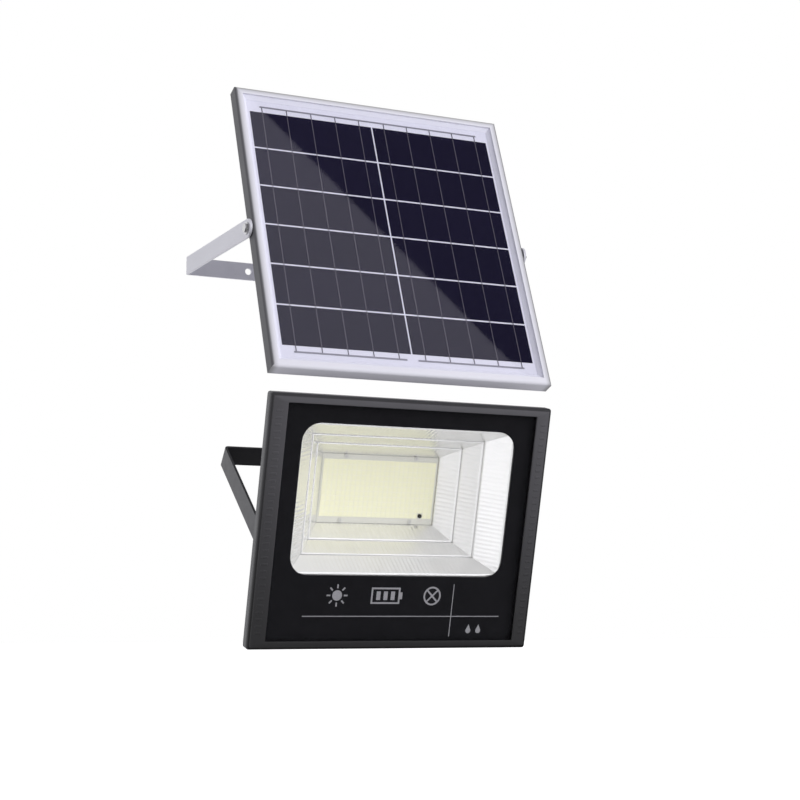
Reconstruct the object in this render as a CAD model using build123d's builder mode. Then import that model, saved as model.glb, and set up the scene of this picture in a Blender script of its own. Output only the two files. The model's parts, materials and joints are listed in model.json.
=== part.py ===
"""Solar flood light: a framed solar panel and a flood lamp, each tilting on its own U-bracket.

World frame: X to the right, Y into the wall, Z up, origin at the middle of the panel bracket's
base, on its back face. Sizes are in millimetres. Each tilting unit is modelled in its own frame,
whose origin is the middle of its pivot axis: X along the axis, Y up along the unit's face, Z out
of the front.
"""
from build123d import *
from math import cos, radians, sin
import os

os.makedirs("parts", exist_ok=True)

# ---- driving dimensions: layout ----
PANEL_TILT = 21.0           # the panel's face leans back by this angle
LAMP_TILT = 14.5            # the lamp's face leans down by this angle
LAMP_ARM_SLOPE = 39.0       # the lamp bracket's arms rise from the pivot by this angle
PANEL_PIVOT = Vector(0, -227, 0)
LAMP_PIVOT = Vector(0, -215, -362)

# ---- driving dimensions: solar panel ----
PANEL_WIDTH = 350.0
PANEL_HEIGHT = 380.0
PANEL_MIDDLE = 5.0          # the panel's middle lies this far above its pivot
RAIL_FRONT = 11.5           # front and back of the frame rails, from the pivot axis
RAIL_BACK = -5.5
RAIL_WALL = 1.5
RAIL_LIP = 9.0              # how far the rail reaches over the glass
RAIL_FLANGE = 14.0          # how far the rail reaches inwards at the back
RAIL_EDGE_RADIUS = 3.5
SHELF_TOP = 5.5             # the laminate rests on this shelf
GLASS_GAP = 2.0             # from the rail's outside to the laminate's edge
BACK_SHEET = 0.5
CELL_THICKNESS = 0.3
RIBBON_THICKNESS = 0.2
PANEL_GLASS = 3.2
CELL_WIDTH = 157.0
CELL_HEIGHT = 51.3
CELL_GAP_X = 2.0
CELL_GAP_Y = 2.2
CELL_COLUMNS = 2
CELL_ROWS = 6
RIBBONS_PER_CELL = 5
RIBBON_WIDTH = 1.0
BUS_WIDTH = 2.0
BUS_OFFSET = 8.0            # from the cells to the middle of the bus ribbon

# ---- driving dimensions: panel bracket ----
PANEL_BAR = 22.0
BAR_THICKNESS = 3.0
PANEL_ARM_INSIDE = PANEL_WIDTH / 2 + 1.0
BEND_RADIUS = 5.0
PANEL_MOUNT_SPACING = 192.0
PANEL_MOUNT_RADIUS = 4.25
RUNNING_GAP = 0.1           # radial clearance of each pivot bolt in its arm
FACE_GAP = 0.3              # gap between an arm and the faces that turn beside it
PANEL_BOLT_RADIUS = 3.0

# ---- driving dimensions: flood lamp ----
LAMP_WIDTH = 350.0
LAMP_HEIGHT = 287.0
LAMP_MIDDLE = 38.0          # the lamp's middle lies this far above its pivot
BEZEL_INNER_FRONT = 47.0
BEZEL_OUTER_FRONT = 44.5
BEZEL_BACK = 30.5
BEZEL_WALL = 2.5
OPENING_WIDTH = 310.0
OPENING_HEIGHT = 267.0
COVER_WIDTH = 320.0
COVER_HEIGHT = 275.0
COVER_FRONT = 44.5
COVER_THICKNESS = 4.0
MASK_THICKNESS = 0.2
MASK_INSET = 1.0
WINDOW_WIDTH = 266.0
WINDOW_HEIGHT = 171.5
WINDOW_MIDDLE = 64.5
WINDOW_RADIUS = 22.0
GASKET_THICKNESS = 1.8
GASKET_WIDTH = 9.0
GASKET_CORNER = 3.0
FLANGE_THICKNESS = 4.0
FLANGE_GAP = 0.3
BODY_WIDTH = 292.0
BODY_HEIGHT = 262.0
BODY_BACK = -43.0
BODY_TAPER = 5.0
BODY_WALL = 3.0
FIN_COUNT = 13
FIN_PITCH = 18.0
FIN_THICKNESS = 2.5
FIN_HEIGHT = 12.0
FIN_LENGTH = 190.0

# ---- driving dimensions: lamp bracket ----
LAMP_BAR = 25.0
LAMP_ARM_INSIDE = 147.3
LAMP_ARM_LENGTH = 188.5
LAMP_BOLT_RADIUS = 4.0
LAMP_BOSS_FACE = 146.0
LAMP_CENTRE_HOLE = 6.5
LAMP_SIDE_HOLE = 4.25
LAMP_SIDE_SPACING = 100.0

# ---- frames of the two tilting units and of the lamp bracket ----
panel_front = Vector(0, -cos(radians(PANEL_TILT)), sin(radians(PANEL_TILT)))
lamp_front = Vector(0, -cos(radians(LAMP_TILT)), -sin(radians(LAMP_TILT)))
arm_out = Vector(0, cos(radians(LAMP_ARM_SLOPE)), sin(radians(LAMP_ARM_SLOPE)))
PANEL = Plane(origin=PANEL_PIVOT, x_dir=(1, 0, 0), z_dir=panel_front)
LAMP = Plane(origin=LAMP_PIVOT, x_dir=(1, 0, 0), z_dir=lamp_front)


def at(frame, x, y, z, x_dir=None, z_dir=None):
    """A plane inside a unit's frame: its origin and directions are given in that frame."""
    origin = frame.from_local_coords(Vector(x, y, z))
    along = frame.from_local_coords(Vector(*(x_dir or (1, 0, 0)))) - frame.origin
    out = frame.from_local_coords(Vector(*(z_dir or (0, 0, 1)))) - frame.origin
    return Plane(origin=origin, x_dir=along, z_dir=out)


def save(part, name):
    """Label a finished piece and write its STEP file."""
    part.label = name
    export_step(part, f"parts/{name}.step")


def slab(frame, width, height, low, high, middle=0.0, radius=0.0):
    """A flat plate across a unit, between two levels, with optional round corners."""
    with BuildPart() as plate:
        with BuildSketch(at(frame, 0, middle, low)):
            if radius:
                RectangleRounded(width, height, radius)
            else:
                Rectangle(width, height)
        extrude(amount=high - low)
    return plate.part


# =====================================================================================
# Solar panel
# =====================================================================================

def frame_rail(length, inward, edge_x, edge_y):
    """One frame rail: an extruded section with a lip, a shelf and a back flange, cut at 45 degrees."""
    along = Vector(*inward).cross(Vector(0, 0, 1))
    rail_plane = at(PANEL, edge_x, edge_y, 0, x_dir=inward, z_dir=tuple(along))
    pocket_top = RAIL_FRONT - RAIL_WALL
    with BuildPart() as rail:
        with BuildSketch(rail_plane) as section:
            with BuildLine():
                Polyline(
                    (0, RAIL_BACK),
                    (RAIL_FLANGE, RAIL_BACK),
                    (RAIL_FLANGE, RAIL_BACK + RAIL_WALL),
                    (RAIL_WALL, RAIL_BACK + RAIL_WALL),
                    (RAIL_WALL, SHELF_TOP - RAIL_WALL),
                    (RAIL_LIP, SHELF_TOP - RAIL_WALL),
                    (RAIL_LIP, SHELF_TOP),
                    (RAIL_WALL, SHELF_TOP),
                    (RAIL_WALL, pocket_top),
                    (RAIL_LIP, pocket_top),
                    (RAIL_LIP, RAIL_FRONT),
                    (0, RAIL_FRONT),
                    close=True,
                )
            make_face()
            front_corner = section.vertices().sort_by_distance((0, RAIL_FRONT, 0))[0]
            fillet(front_corner, RAIL_EDGE_RADIUS)
        extrude(amount=length / 2, both=True)
        for end in (1, -1):
            mitre_out = rail_plane.from_local_coords(Vector(1, 0, end)) - rail_plane.origin
            mitre = Plane(
                origin=rail_plane.from_local_coords(Vector(0, 0, end * length / 2)),
                z_dir=mitre_out,
            )
            split(bisect_by=mitre, keep=Keep.BOTTOM)
    return rail.part


rail_top = PANEL_MIDDLE + PANEL_HEIGHT / 2
rail_bottom = PANEL_MIDDLE - PANEL_HEIGHT / 2
half_width = PANEL_WIDTH / 2
side_rails = {
    "panel_frame_left": frame_rail(PANEL_HEIGHT, (1, 0, 0), -half_width, PANEL_MIDDLE),
    "panel_frame_right": frame_rail(PANEL_HEIGHT, (-1, 0, 0), half_width, PANEL_MIDDLE),
}
save(frame_rail(PANEL_WIDTH, (0, -1, 0), 0, rail_top), "panel_frame_top")
save(frame_rail(PANEL_WIDTH, (0, 1, 0), 0, rail_bottom), "panel_frame_bottom")

# The pivot bolt passes through each side rail's outer wall.
bolt_hole_radius = PANEL_BOLT_RADIUS + 0.05
for name, rail_part in side_rails.items():
    side = -1 if name.endswith("left") else 1
    with BuildPart() as side_rail:
        add(rail_part)
        with BuildSketch(at(PANEL, side * (half_width + 1), 0, 0, x_dir=(0, 1, 0), z_dir=(-side, 0, 0))):
            Circle(bolt_hole_radius)
        extrude(amount=RAIL_WALL + 2, mode=Mode.SUBTRACT)
    save(side_rail.part, name)

# Corner keys: L-shaped castings pushed into the hollow of each pair of rails.
KEY_LEG = 32.0
KEY_WIDTH = 9.0
KEY_GAP = 0.15
cavity_low = RAIL_BACK + RAIL_WALL
cavity_high = SHELF_TOP - RAIL_WALL
key_inset = RAIL_WALL + KEY_GAP
key_x = half_width - key_inset
key_y = PANEL_HEIGHT / 2 - key_inset
with BuildPart() as corner_keys:
    with BuildSketch(at(PANEL, 0, PANEL_MIDDLE, cavity_low + KEY_GAP)):
        for sx in (-1, 1):
            for sy in (-1, 1):
                with Locations((sx * (key_x - KEY_LEG / 2), sy * (key_y - KEY_WIDTH / 2))):
                    Rectangle(KEY_LEG, KEY_WIDTH)
                with Locations((sx * (key_x - KEY_WIDTH / 2), sy * (key_y - KEY_LEG / 2))):
                    Rectangle(KEY_WIDTH, KEY_LEG)
    extrude(amount=cavity_high - cavity_low - 2 * KEY_GAP)
save(corner_keys.part, "frame_corner_keys")

# Laminate: back sheet, cells, ribbons, clear encapsulant and glass, from back to front.
laminate_width = PANEL_WIDTH - 2 * GLASS_GAP
laminate_height = PANEL_HEIGHT - 2 * GLASS_GAP
sheet_top = SHELF_TOP + BACK_SHEET
cell_top = sheet_top + CELL_THICKNESS
glass_top = RAIL_FRONT - RAIL_WALL
glass_bottom = glass_top - PANEL_GLASS
cell_pitch_x = CELL_WIDTH + CELL_GAP_X
cell_pitch_y = CELL_HEIGHT + CELL_GAP_Y
cells_height = CELL_ROWS * CELL_HEIGHT + (CELL_ROWS - 1) * CELL_GAP_Y
cells_width = CELL_COLUMNS * CELL_WIDTH + (CELL_COLUMNS - 1) * CELL_GAP_X
bus_y = cells_height / 2 + BUS_OFFSET

with BuildPart() as solar_cells:
    with BuildSketch(at(PANEL, 0, PANEL_MIDDLE, sheet_top)):
        with GridLocations(cell_pitch_x, cell_pitch_y, CELL_COLUMNS, CELL_ROWS):
            Rectangle(CELL_WIDTH, CELL_HEIGHT)
    extrude(amount=CELL_THICKNESS)
save(solar_cells.part, "solar_cells")

# Each tabbing ribbon runs from the top bus to the bottom bus over its column of cells.
with BuildPart() as tabbing_ribbons:
    with BuildSketch(at(PANEL, 0, PANEL_MIDDLE, cell_top)):
        for column in range(CELL_COLUMNS):
            column_x = (column - (CELL_COLUMNS - 1) / 2) * cell_pitch_x
            with Locations((column_x, 0)):
                with GridLocations(CELL_WIDTH / RIBBONS_PER_CELL, 1, RIBBONS_PER_CELL, 1):
                    Rectangle(RIBBON_WIDTH, 2 * bus_y - BUS_WIDTH)
    extrude(amount=RIBBON_THICKNESS)
save(tabbing_ribbons.part, "tabbing_ribbons")

# Bus ribbons: one across the top joins the two strings, two at the bottom carry the current out.
BUS_END = 13.0              # the bus ribbons stop this far short of the cells' outer edges
BUS_SPLIT = 14.0            # gap between the two lower ribbons
top_bus = cells_width - 2 * BUS_END
low_bus = (top_bus - BUS_SPLIT) / 2
low_bus_x = (low_bus + BUS_SPLIT) / 2
with BuildPart() as bus_ribbons:
    with BuildSketch(at(PANEL, 0, PANEL_MIDDLE, cell_top)):
        with Locations((0, bus_y)):
            Rectangle(top_bus, BUS_WIDTH)
        with Locations((-low_bus_x, -bus_y), (low_bus_x, -bus_y)):
            Rectangle(low_bus, BUS_WIDTH)
    extrude(amount=RIBBON_THICKNESS)
save(bus_ribbons.part, "bus_ribbons")

with BuildPart() as back_sheet:
    with BuildSketch(at(PANEL, 0, PANEL_MIDDLE, SHELF_TOP)):
        Rectangle(laminate_width, laminate_height)
    extrude(amount=BACK_SHEET)
save(back_sheet.part, "back_sheet")

with BuildPart() as encapsulant:
    with BuildSketch(at(PANEL, 0, PANEL_MIDDLE, sheet_top)):
        Rectangle(laminate_width, laminate_height)
    extrude(amount=glass_bottom - sheet_top)
    add(solar_cells.part, mode=Mode.SUBTRACT)
    add(tabbing_ribbons.part, mode=Mode.SUBTRACT)
    add(bus_ribbons.part, mode=Mode.SUBTRACT)
save(encapsulant.part, "encapsulant")

save(slab(PANEL, laminate_width, laminate_height, glass_bottom, glass_top, PANEL_MIDDLE), "panel_glass")

# Junction box on the back sheet, over the ends of the two lower bus ribbons.
BOX_WIDTH = 74.0
BOX_HEIGHT = 46.0
BOX_MIDDLE = PANEL_MIDDLE - PANEL_HEIGHT / 2 + RAIL_FLANGE + 2.0 + BOX_HEIGHT / 2
BOX_DEPTH = 22.0
BOX_WALL = 2.0
LID_THICKNESS = 2.5
LID_CHAMFER = 0.8
BOX_CORNER = 4.0
BOX_POST_INSET = 5.5
BOX_POST_RADIUS = 3.6
BOX_SCREW_RADIUS = 1.5
BOX_SCREW_DEPTH = 9.0
BOX_SCREW_HEAD = (2.9, 1.2)         # radius and height
BOX_HEAD_RECESS = (3.2, 1.3)        # radius and depth in the lid
DRIVE_SLOT = (3.6, 0.7)             # length and width of each arm of the cross recess
DRIVE_DEPTH = 0.8
HEAD_BELOW_LID = 0.1
box_back = SHELF_TOP - BOX_DEPTH
lid_back = box_back - LID_THICKNESS
box_post_x = BOX_WIDTH / 2 - BOX_POST_INSET
box_post_y = BOX_HEIGHT / 2 - BOX_POST_INSET
BOX_GLAND_RADIUS = 6.0
BOX_GLAND_ACROSS = 13.0
BOX_GLAND_X = 18.0
BOX_GLAND_HOLE = 4.5
BOX_GLAND_ABOVE_LID = 6.5   # low enough for the lead to pass behind the frame
box_gland_level = box_back + BOX_GLAND_ABOVE_LID

with BuildPart() as junction_box:
    with BuildSketch(at(PANEL, 0, BOX_MIDDLE, box_back)):
        RectangleRounded(BOX_WIDTH, BOX_HEIGHT, BOX_CORNER)
    extrude(amount=BOX_DEPTH)
    with BuildSketch(at(PANEL, 0, BOX_MIDDLE, box_back)):
        RectangleRounded(BOX_WIDTH - 2 * BOX_WALL, BOX_HEIGHT - 2 * BOX_WALL, BOX_CORNER - BOX_WALL)
    extrude(amount=BOX_DEPTH - BOX_WALL, mode=Mode.SUBTRACT)
    with BuildSketch(at(PANEL, 0, BOX_MIDDLE, box_back)):
        with GridLocations(2 * box_post_x, 2 * box_post_y, 2, 2):
            Circle(BOX_POST_RADIUS)
    extrude(amount=BOX_DEPTH - BOX_WALL)
    with BuildSketch(at(PANEL, 0, BOX_MIDDLE, box_back)):
        with GridLocations(2 * box_post_x, 2 * box_post_y, 2, 2):
            Circle(BOX_SCREW_RADIUS)
    extrude(amount=BOX_SCREW_DEPTH, mode=Mode.SUBTRACT)
    gland_seat = at(PANEL, BOX_GLAND_X, BOX_MIDDLE + BOX_HEIGHT / 2, box_gland_level,
                    x_dir=(1, 0, 0), z_dir=(0, -1, 0))
    with BuildSketch(gland_seat):
        Circle(BOX_GLAND_HOLE)
    extrude(amount=BOX_WALL, mode=Mode.SUBTRACT)
save(junction_box.part, "junction_box")

with BuildPart() as junction_box_lid:
    with BuildSketch(at(PANEL, 0, BOX_MIDDLE, lid_back)):
        RectangleRounded(BOX_WIDTH, BOX_HEIGHT, BOX_CORNER)
    extrude(amount=LID_THICKNESS)
    back_edges = junction_box_lid.faces().sort_by(Axis(PANEL.origin, PANEL.z_dir))[0].edges()
    chamfer(back_edges, LID_CHAMFER)
    with BuildSketch(at(PANEL, 0, BOX_MIDDLE, lid_back)):
        with GridLocations(2 * box_post_x, 2 * box_post_y, 2, 2):
            Circle(BOX_SCREW_RADIUS + 0.2)
    extrude(amount=LID_THICKNESS, mode=Mode.SUBTRACT)
    with BuildSketch(at(PANEL, 0, BOX_MIDDLE, lid_back)):
        with GridLocations(2 * box_post_x, 2 * box_post_y, 2, 2):
            Circle(BOX_HEAD_RECESS[0])
    extrude(amount=BOX_HEAD_RECESS[1], mode=Mode.SUBTRACT)
save(junction_box_lid.part, "junction_box_lid")

with BuildPart() as junction_box_screws:
    with BuildSketch(at(PANEL, 0, BOX_MIDDLE, lid_back + HEAD_BELOW_LID)):
        with GridLocations(2 * box_post_x, 2 * box_post_y, 2, 2):
            Circle(BOX_SCREW_HEAD[0])
    extrude(amount=BOX_SCREW_HEAD[1])
    with BuildSketch(at(PANEL, 0, BOX_MIDDLE, lid_back + BOX_HEAD_RECESS[1])):
        with GridLocations(2 * box_post_x, 2 * box_post_y, 2, 2):
            Circle(BOX_SCREW_RADIUS - 0.02)
    extrude(amount=BOX_SCREW_DEPTH - 0.5)
    with BuildSketch(at(PANEL, 0, BOX_MIDDLE, lid_back + HEAD_BELOW_LID)):
        with GridLocations(2 * box_post_x, 2 * box_post_y, 2, 2):
            Rectangle(DRIVE_SLOT[0], DRIVE_SLOT[1])
            Rectangle(DRIVE_SLOT[1], DRIVE_SLOT[0])
    extrude(amount=DRIVE_DEPTH, mode=Mode.SUBTRACT)
save(junction_box_screws.part, "junction_box_screws")

# Terminal block with its two clamping wells, and the blocking diode beside it.
box_floor = SHELF_TOP - BOX_WALL
TERMINAL_WIDTH = 22.0
TERMINAL_HEIGHT = 12.0
TERMINAL_DEPTH = 9.0
TERMINAL_X = -12.0
TERMINAL_Y = BOX_MIDDLE + 2.0
TERMINAL_PITCH = 10.0
CLAMP_RADIUS = 2.2
CLAMP_DEPTH = 3.0
WIRE_WELL = (4.0, 3.0, 4.0)         # width, height and depth
wire_well_level = box_floor - 5.0
with BuildPart() as terminal_block:
    with BuildSketch(at(PANEL, TERMINAL_X, TERMINAL_Y, box_floor)):
        Rectangle(TERMINAL_WIDTH, TERMINAL_HEIGHT)
    extrude(amount=-TERMINAL_DEPTH)
    with BuildSketch(at(PANEL, TERMINAL_X, TERMINAL_Y, box_floor - TERMINAL_DEPTH)):
        with GridLocations(TERMINAL_PITCH, 1, 2, 1):
            Circle(CLAMP_RADIUS)
    extrude(amount=CLAMP_DEPTH, mode=Mode.SUBTRACT)
    with BuildSketch(at(PANEL, TERMINAL_X, TERMINAL_Y + TERMINAL_HEIGHT / 2, wire_well_level,
                        x_dir=(1, 0, 0), z_dir=(0, -1, 0))):
        with GridLocations(TERMINAL_PITCH, 1, 2, 1):
            Rectangle(WIRE_WELL[0], WIRE_WELL[1])
    extrude(amount=WIRE_WELL[2], mode=Mode.SUBTRACT)
save(terminal_block.part, "terminal_block")

DIODE_RADIUS = 2.6
DIODE_LENGTH = 9.0
DIODE_START = 10.0
DIODE_Y = BOX_MIDDLE - 6.0
LEAD_RADIUS = 0.6
LEAD_REACH = 4.0                    # each lead sticks out of the diode this far
diode_level = box_floor - 3.2
with BuildPart() as blocking_diode:
    with BuildSketch(at(PANEL, DIODE_START, DIODE_Y, diode_level, x_dir=(0, 1, 0), z_dir=(1, 0, 0))):
        Circle(DIODE_RADIUS)
    extrude(amount=DIODE_LENGTH)
    with BuildSketch(at(PANEL, DIODE_START - LEAD_REACH, DIODE_Y, diode_level,
                        x_dir=(0, 1, 0), z_dir=(1, 0, 0))):
        Circle(LEAD_RADIUS)
    extrude(amount=DIODE_LENGTH + 2 * LEAD_REACH)
save(blocking_diode.part, "blocking_diode")


SPIGOT_LENGTH = 5.0
GLAND_HEX_HEIGHT = 4.0
GLAND_DOME_HEIGHT = 7.0
SPIGOT_RATIO = 0.72                 # spigot and cord hole radius, as shares of the dome's
CORD_HOLE_RATIO = 0.42


def gland(frame, seat, out, across, radius):
    """A cable gland: threaded spigot inside the wall, hex body, round dome nut and a cord hole."""
    side = (1, 0, 0) if abs(out[0]) < 0.5 else (0, 1, 0)

    def level(height):
        """A plane across the gland at a height above its seat."""
        return at(frame, seat[0] + out[0] * height, seat[1] + out[1] * height,
                  seat[2] + out[2] * height, x_dir=side, z_dir=out)

    with BuildPart() as body:
        with BuildSketch(level(-SPIGOT_LENGTH)):
            Circle(radius * SPIGOT_RATIO)
        extrude(amount=SPIGOT_LENGTH)
        with BuildSketch(level(0)):
            RegularPolygon(across / 2, 6, major_radius=False)
        extrude(amount=GLAND_HEX_HEIGHT)
        with BuildSketch(level(GLAND_HEX_HEIGHT)):
            Circle(radius)
        extrude(amount=GLAND_DOME_HEIGHT)
        rim = body.edges().filter_by(GeomType.CIRCLE).sort_by(Axis(frame.origin, level(0).z_dir))[-1]
        fillet(rim, radius * 0.35)
        with BuildSketch(level(-SPIGOT_LENGTH)):
            Circle(radius * CORD_HOLE_RATIO)
        extrude(amount=SPIGOT_LENGTH + GLAND_HEX_HEIGHT + GLAND_DOME_HEIGHT, mode=Mode.SUBTRACT)
    return body.part


box_gland_seat = (BOX_GLAND_X, BOX_MIDDLE + BOX_HEIGHT / 2, box_gland_level)
save(gland(PANEL, box_gland_seat, (0, 1, 0), BOX_GLAND_ACROSS, BOX_GLAND_RADIUS), "panel_cable_gland")

# Pivot bolts, spacer washers and the threaded plates inside the side rails.
PANEL_WASHER = 0.7
PANEL_WASHER_RADIUS = 7.5
PANEL_HEAD_FLANGE = (7.2, 0.9)      # radius and thickness
PANEL_HEAD_ACROSS = 10.0
PANEL_HEAD_HEIGHT = 3.2
PLATE_THICKNESS = 4.0
PLATE_LENGTH = 26.0
PLATE_HEIGHT = 7.6
panel_arm_outside = PANEL_ARM_INSIDE + BAR_THICKNESS
plate_outside = half_width - RAIL_WALL
bolt_end = plate_outside - PLATE_THICKNESS
panel_head_seat = panel_arm_outside + FACE_GAP

with BuildPart() as panel_pivot_bolts:
    for side in (-1, 1):
        with BuildSketch(at(PANEL, side * bolt_end, 0, 0, x_dir=(0, 1, 0), z_dir=(side, 0, 0))):
            Circle(PANEL_BOLT_RADIUS)
        extrude(amount=panel_head_seat - bolt_end)
        with BuildSketch(at(PANEL, side * panel_head_seat, 0, 0, x_dir=(0, 1, 0), z_dir=(side, 0, 0))):
            Circle(PANEL_HEAD_FLANGE[0])
        extrude(amount=PANEL_HEAD_FLANGE[1])
        with BuildSketch(at(PANEL, side * panel_head_seat, 0, 0, x_dir=(0, 1, 0), z_dir=(side, 0, 0))):
            RegularPolygon(PANEL_HEAD_ACROSS / 2, 6, major_radius=False)
        extrude(amount=PANEL_HEAD_HEIGHT)
save(panel_pivot_bolts.part, "panel_pivot_bolts")

with BuildPart() as panel_pivot_washers:
    for side in (-1, 1):
        with BuildSketch(at(PANEL, side * half_width, 0, 0, x_dir=(0, 1, 0), z_dir=(side, 0, 0))):
            Circle(PANEL_WASHER_RADIUS)
            Circle(bolt_hole_radius, mode=Mode.SUBTRACT)
        extrude(amount=PANEL_WASHER)
save(panel_pivot_washers.part, "panel_pivot_washers")

with BuildPart() as panel_nut_plates:
    for side in (-1, 1):
        with BuildSketch(at(PANEL, side * plate_outside, 0, 0, x_dir=(0, 1, 0), z_dir=(-side, 0, 0))):
            Rectangle(PLATE_LENGTH, PLATE_HEIGHT)
            Circle(PANEL_BOLT_RADIUS + 0.02, mode=Mode.SUBTRACT)
        extrude(amount=PLATE_THICKNESS)
save(panel_nut_plates.part, "panel_nut_plates")

# =====================================================================================
# Flood lamp
# =====================================================================================

cover_back = COVER_FRONT - COVER_THICKNESS
mask_back = cover_back - MASK_THICKNESS
gasket_back = mask_back - GASKET_THICKNESS
flange_back = gasket_back - FLANGE_THICKNESS
flange_width = LAMP_WIDTH - 2 * BEZEL_WALL - 2 * FLANGE_GAP
flange_height = LAMP_HEIGHT - 2 * BEZEL_WALL - 2 * FLANGE_GAP

# Front bezel: a skirt, a sloped front that rises to the opening, and a pocket for the glass.
BEZEL_SCREW_X = 333.0       # spacing of the eight screws that clamp the housing's flange
BEZEL_SCREW_Y = 76.0
BEZEL_SCREW_HOLE = 1.6
BEZEL_SCREW_DEPTH = 5.0
BEZEL_CORNER = 3.0
BEZEL_EDGE = 1.5            # the sloped front starts this far inside the skirt
COVER_GAP = 0.5
with BuildPart() as front_bezel:
    with BuildSketch(at(LAMP, 0, LAMP_MIDDLE, BEZEL_BACK)):
        Rectangle(LAMP_WIDTH, LAMP_HEIGHT)
    extrude(amount=BEZEL_OUTER_FRONT - BEZEL_BACK)
    fillet(front_bezel.edges().filter_by(Axis(LAMP.origin, LAMP.z_dir)), BEZEL_CORNER)
    with BuildSketch(at(LAMP, 0, LAMP_MIDDLE, BEZEL_OUTER_FRONT)):
        Rectangle(LAMP_WIDTH - 2 * BEZEL_EDGE, LAMP_HEIGHT - 2 * BEZEL_EDGE)
    with BuildSketch(at(LAMP, 0, LAMP_MIDDLE, BEZEL_INNER_FRONT)):
        Rectangle(OPENING_WIDTH, OPENING_HEIGHT)
    loft(ruled=True)
    with BuildSketch(at(LAMP, 0, LAMP_MIDDLE, BEZEL_BACK)):
        Rectangle(OPENING_WIDTH, OPENING_HEIGHT)
    extrude(amount=BEZEL_INNER_FRONT - BEZEL_BACK, mode=Mode.SUBTRACT)
    with BuildSketch(at(LAMP, 0, LAMP_MIDDLE, BEZEL_BACK)):
        Rectangle(COVER_WIDTH + 2 * COVER_GAP, COVER_HEIGHT + 2 * COVER_GAP)
    extrude(amount=COVER_FRONT - BEZEL_BACK, mode=Mode.SUBTRACT)
    with BuildSketch(at(LAMP, 0, LAMP_MIDDLE, BEZEL_BACK)):
        Rectangle(LAMP_WIDTH - 2 * BEZEL_WALL, LAMP_HEIGHT - 2 * BEZEL_WALL)
    extrude(amount=gasket_back - BEZEL_BACK, mode=Mode.SUBTRACT)
    with BuildSketch(at(LAMP, 0, LAMP_MIDDLE, gasket_back)):
        with GridLocations(BEZEL_SCREW_X, BEZEL_SCREW_Y, 2, 4):
            Circle(BEZEL_SCREW_HOLE)
    extrude(amount=BEZEL_SCREW_DEPTH, mode=Mode.SUBTRACT)
save(front_bezel.part, "front_bezel")

save(slab(LAMP, COVER_WIDTH, COVER_HEIGHT, cover_back, COVER_FRONT, LAMP_MIDDLE, 2.0), "cover_glass")

# Printed markings, inlaid in the black mask: two crossing rule lines, three plain symbols for sun,
# battery and lamp, and two small drops.
RULE_WIDTH = 1.0
RULE_LENGTH = 249.0
RULE_MIDDLE = 12.5
RULE_Y = -68.0
RULE_X = 74.0
CROSS_RULE_LENGTH = 62.0
CROSS_RULE_Y = -61.0
MARK_Y = -44.0
SUN_X = -72.0
SUN_RADIUS = 6.0
RAY_COUNT = 8
RAY_MIDDLE = 10.5
RAY_LENGTH = 4.5
RAY_WIDTH = 1.8
BATTERY_X = -12.0
BATTERY_OUTLINE = (36.0, 19.0)
BATTERY_POLE = (3.0, 8.0)
BATTERY_BAR = (5.0, 10.0)
BATTERY_BAR_PITCH = 9.0
SYMBOL_LINE = 2.0
LAMP_SYMBOL_X = 47.0
LAMP_SYMBOL_RADIUS = 11.0
DROP_X = 105.0
DROP_Y = -85.0
DROP_PITCH = 13.0
DROP_RADIUS = 3.2
DROP_SHOULDER = (2.9, 1.4)
DROP_TIP = 7.5
with BuildPart() as glass_markings:
    with BuildSketch(at(LAMP, 0, 0, mask_back)):
        with Locations((RULE_MIDDLE, RULE_Y)):
            Rectangle(RULE_LENGTH, RULE_WIDTH)
        with Locations((RULE_X, CROSS_RULE_Y)):
            Rectangle(RULE_WIDTH, CROSS_RULE_LENGTH)
        with Locations((SUN_X, MARK_Y)):
            Circle(SUN_RADIUS)
            with PolarLocations(RAY_MIDDLE, RAY_COUNT):
                Rectangle(RAY_LENGTH, RAY_WIDTH)
        with Locations((BATTERY_X, MARK_Y)):
            Rectangle(*BATTERY_OUTLINE)
            Rectangle(*(side - 2 * SYMBOL_LINE for side in BATTERY_OUTLINE), mode=Mode.SUBTRACT)
            with Locations(((BATTERY_OUTLINE[0] + BATTERY_POLE[0]) / 2, 0)):
                Rectangle(*BATTERY_POLE)
            with GridLocations(BATTERY_BAR_PITCH, 1, 3, 1):
                Rectangle(*BATTERY_BAR)
        with Locations((LAMP_SYMBOL_X, MARK_Y)):
            Circle(LAMP_SYMBOL_RADIUS)
            Circle(LAMP_SYMBOL_RADIUS - SYMBOL_LINE, mode=Mode.SUBTRACT)
            for angle in (45, -45):
                Rectangle(2 * LAMP_SYMBOL_RADIUS - SYMBOL_LINE, SYMBOL_LINE, rotation=angle)
        with Locations((DROP_X, DROP_Y)):
            with GridLocations(DROP_PITCH, 1, 2, 1):
                Circle(DROP_RADIUS)
                shoulder_x, shoulder_y = DROP_SHOULDER
                Polygon((-shoulder_x, shoulder_y), (shoulder_x, shoulder_y), (0, DROP_TIP), align=None)
    extrude(amount=MASK_THICKNESS)
save(glass_markings.part, "glass_markings")

with BuildPart() as glass_mask:
    with BuildSketch(at(LAMP, 0, LAMP_MIDDLE, mask_back)):
        Rectangle(COVER_WIDTH - 2 * MASK_INSET, COVER_HEIGHT - 2 * MASK_INSET)
        with Locations((0, WINDOW_MIDDLE - LAMP_MIDDLE)):
            RectangleRounded(WINDOW_WIDTH, WINDOW_HEIGHT, WINDOW_RADIUS, mode=Mode.SUBTRACT)
    extrude(amount=MASK_THICKNESS)
    add(glass_markings.part, mode=Mode.SUBTRACT)
save(glass_mask.part, "glass_mask")

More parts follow.
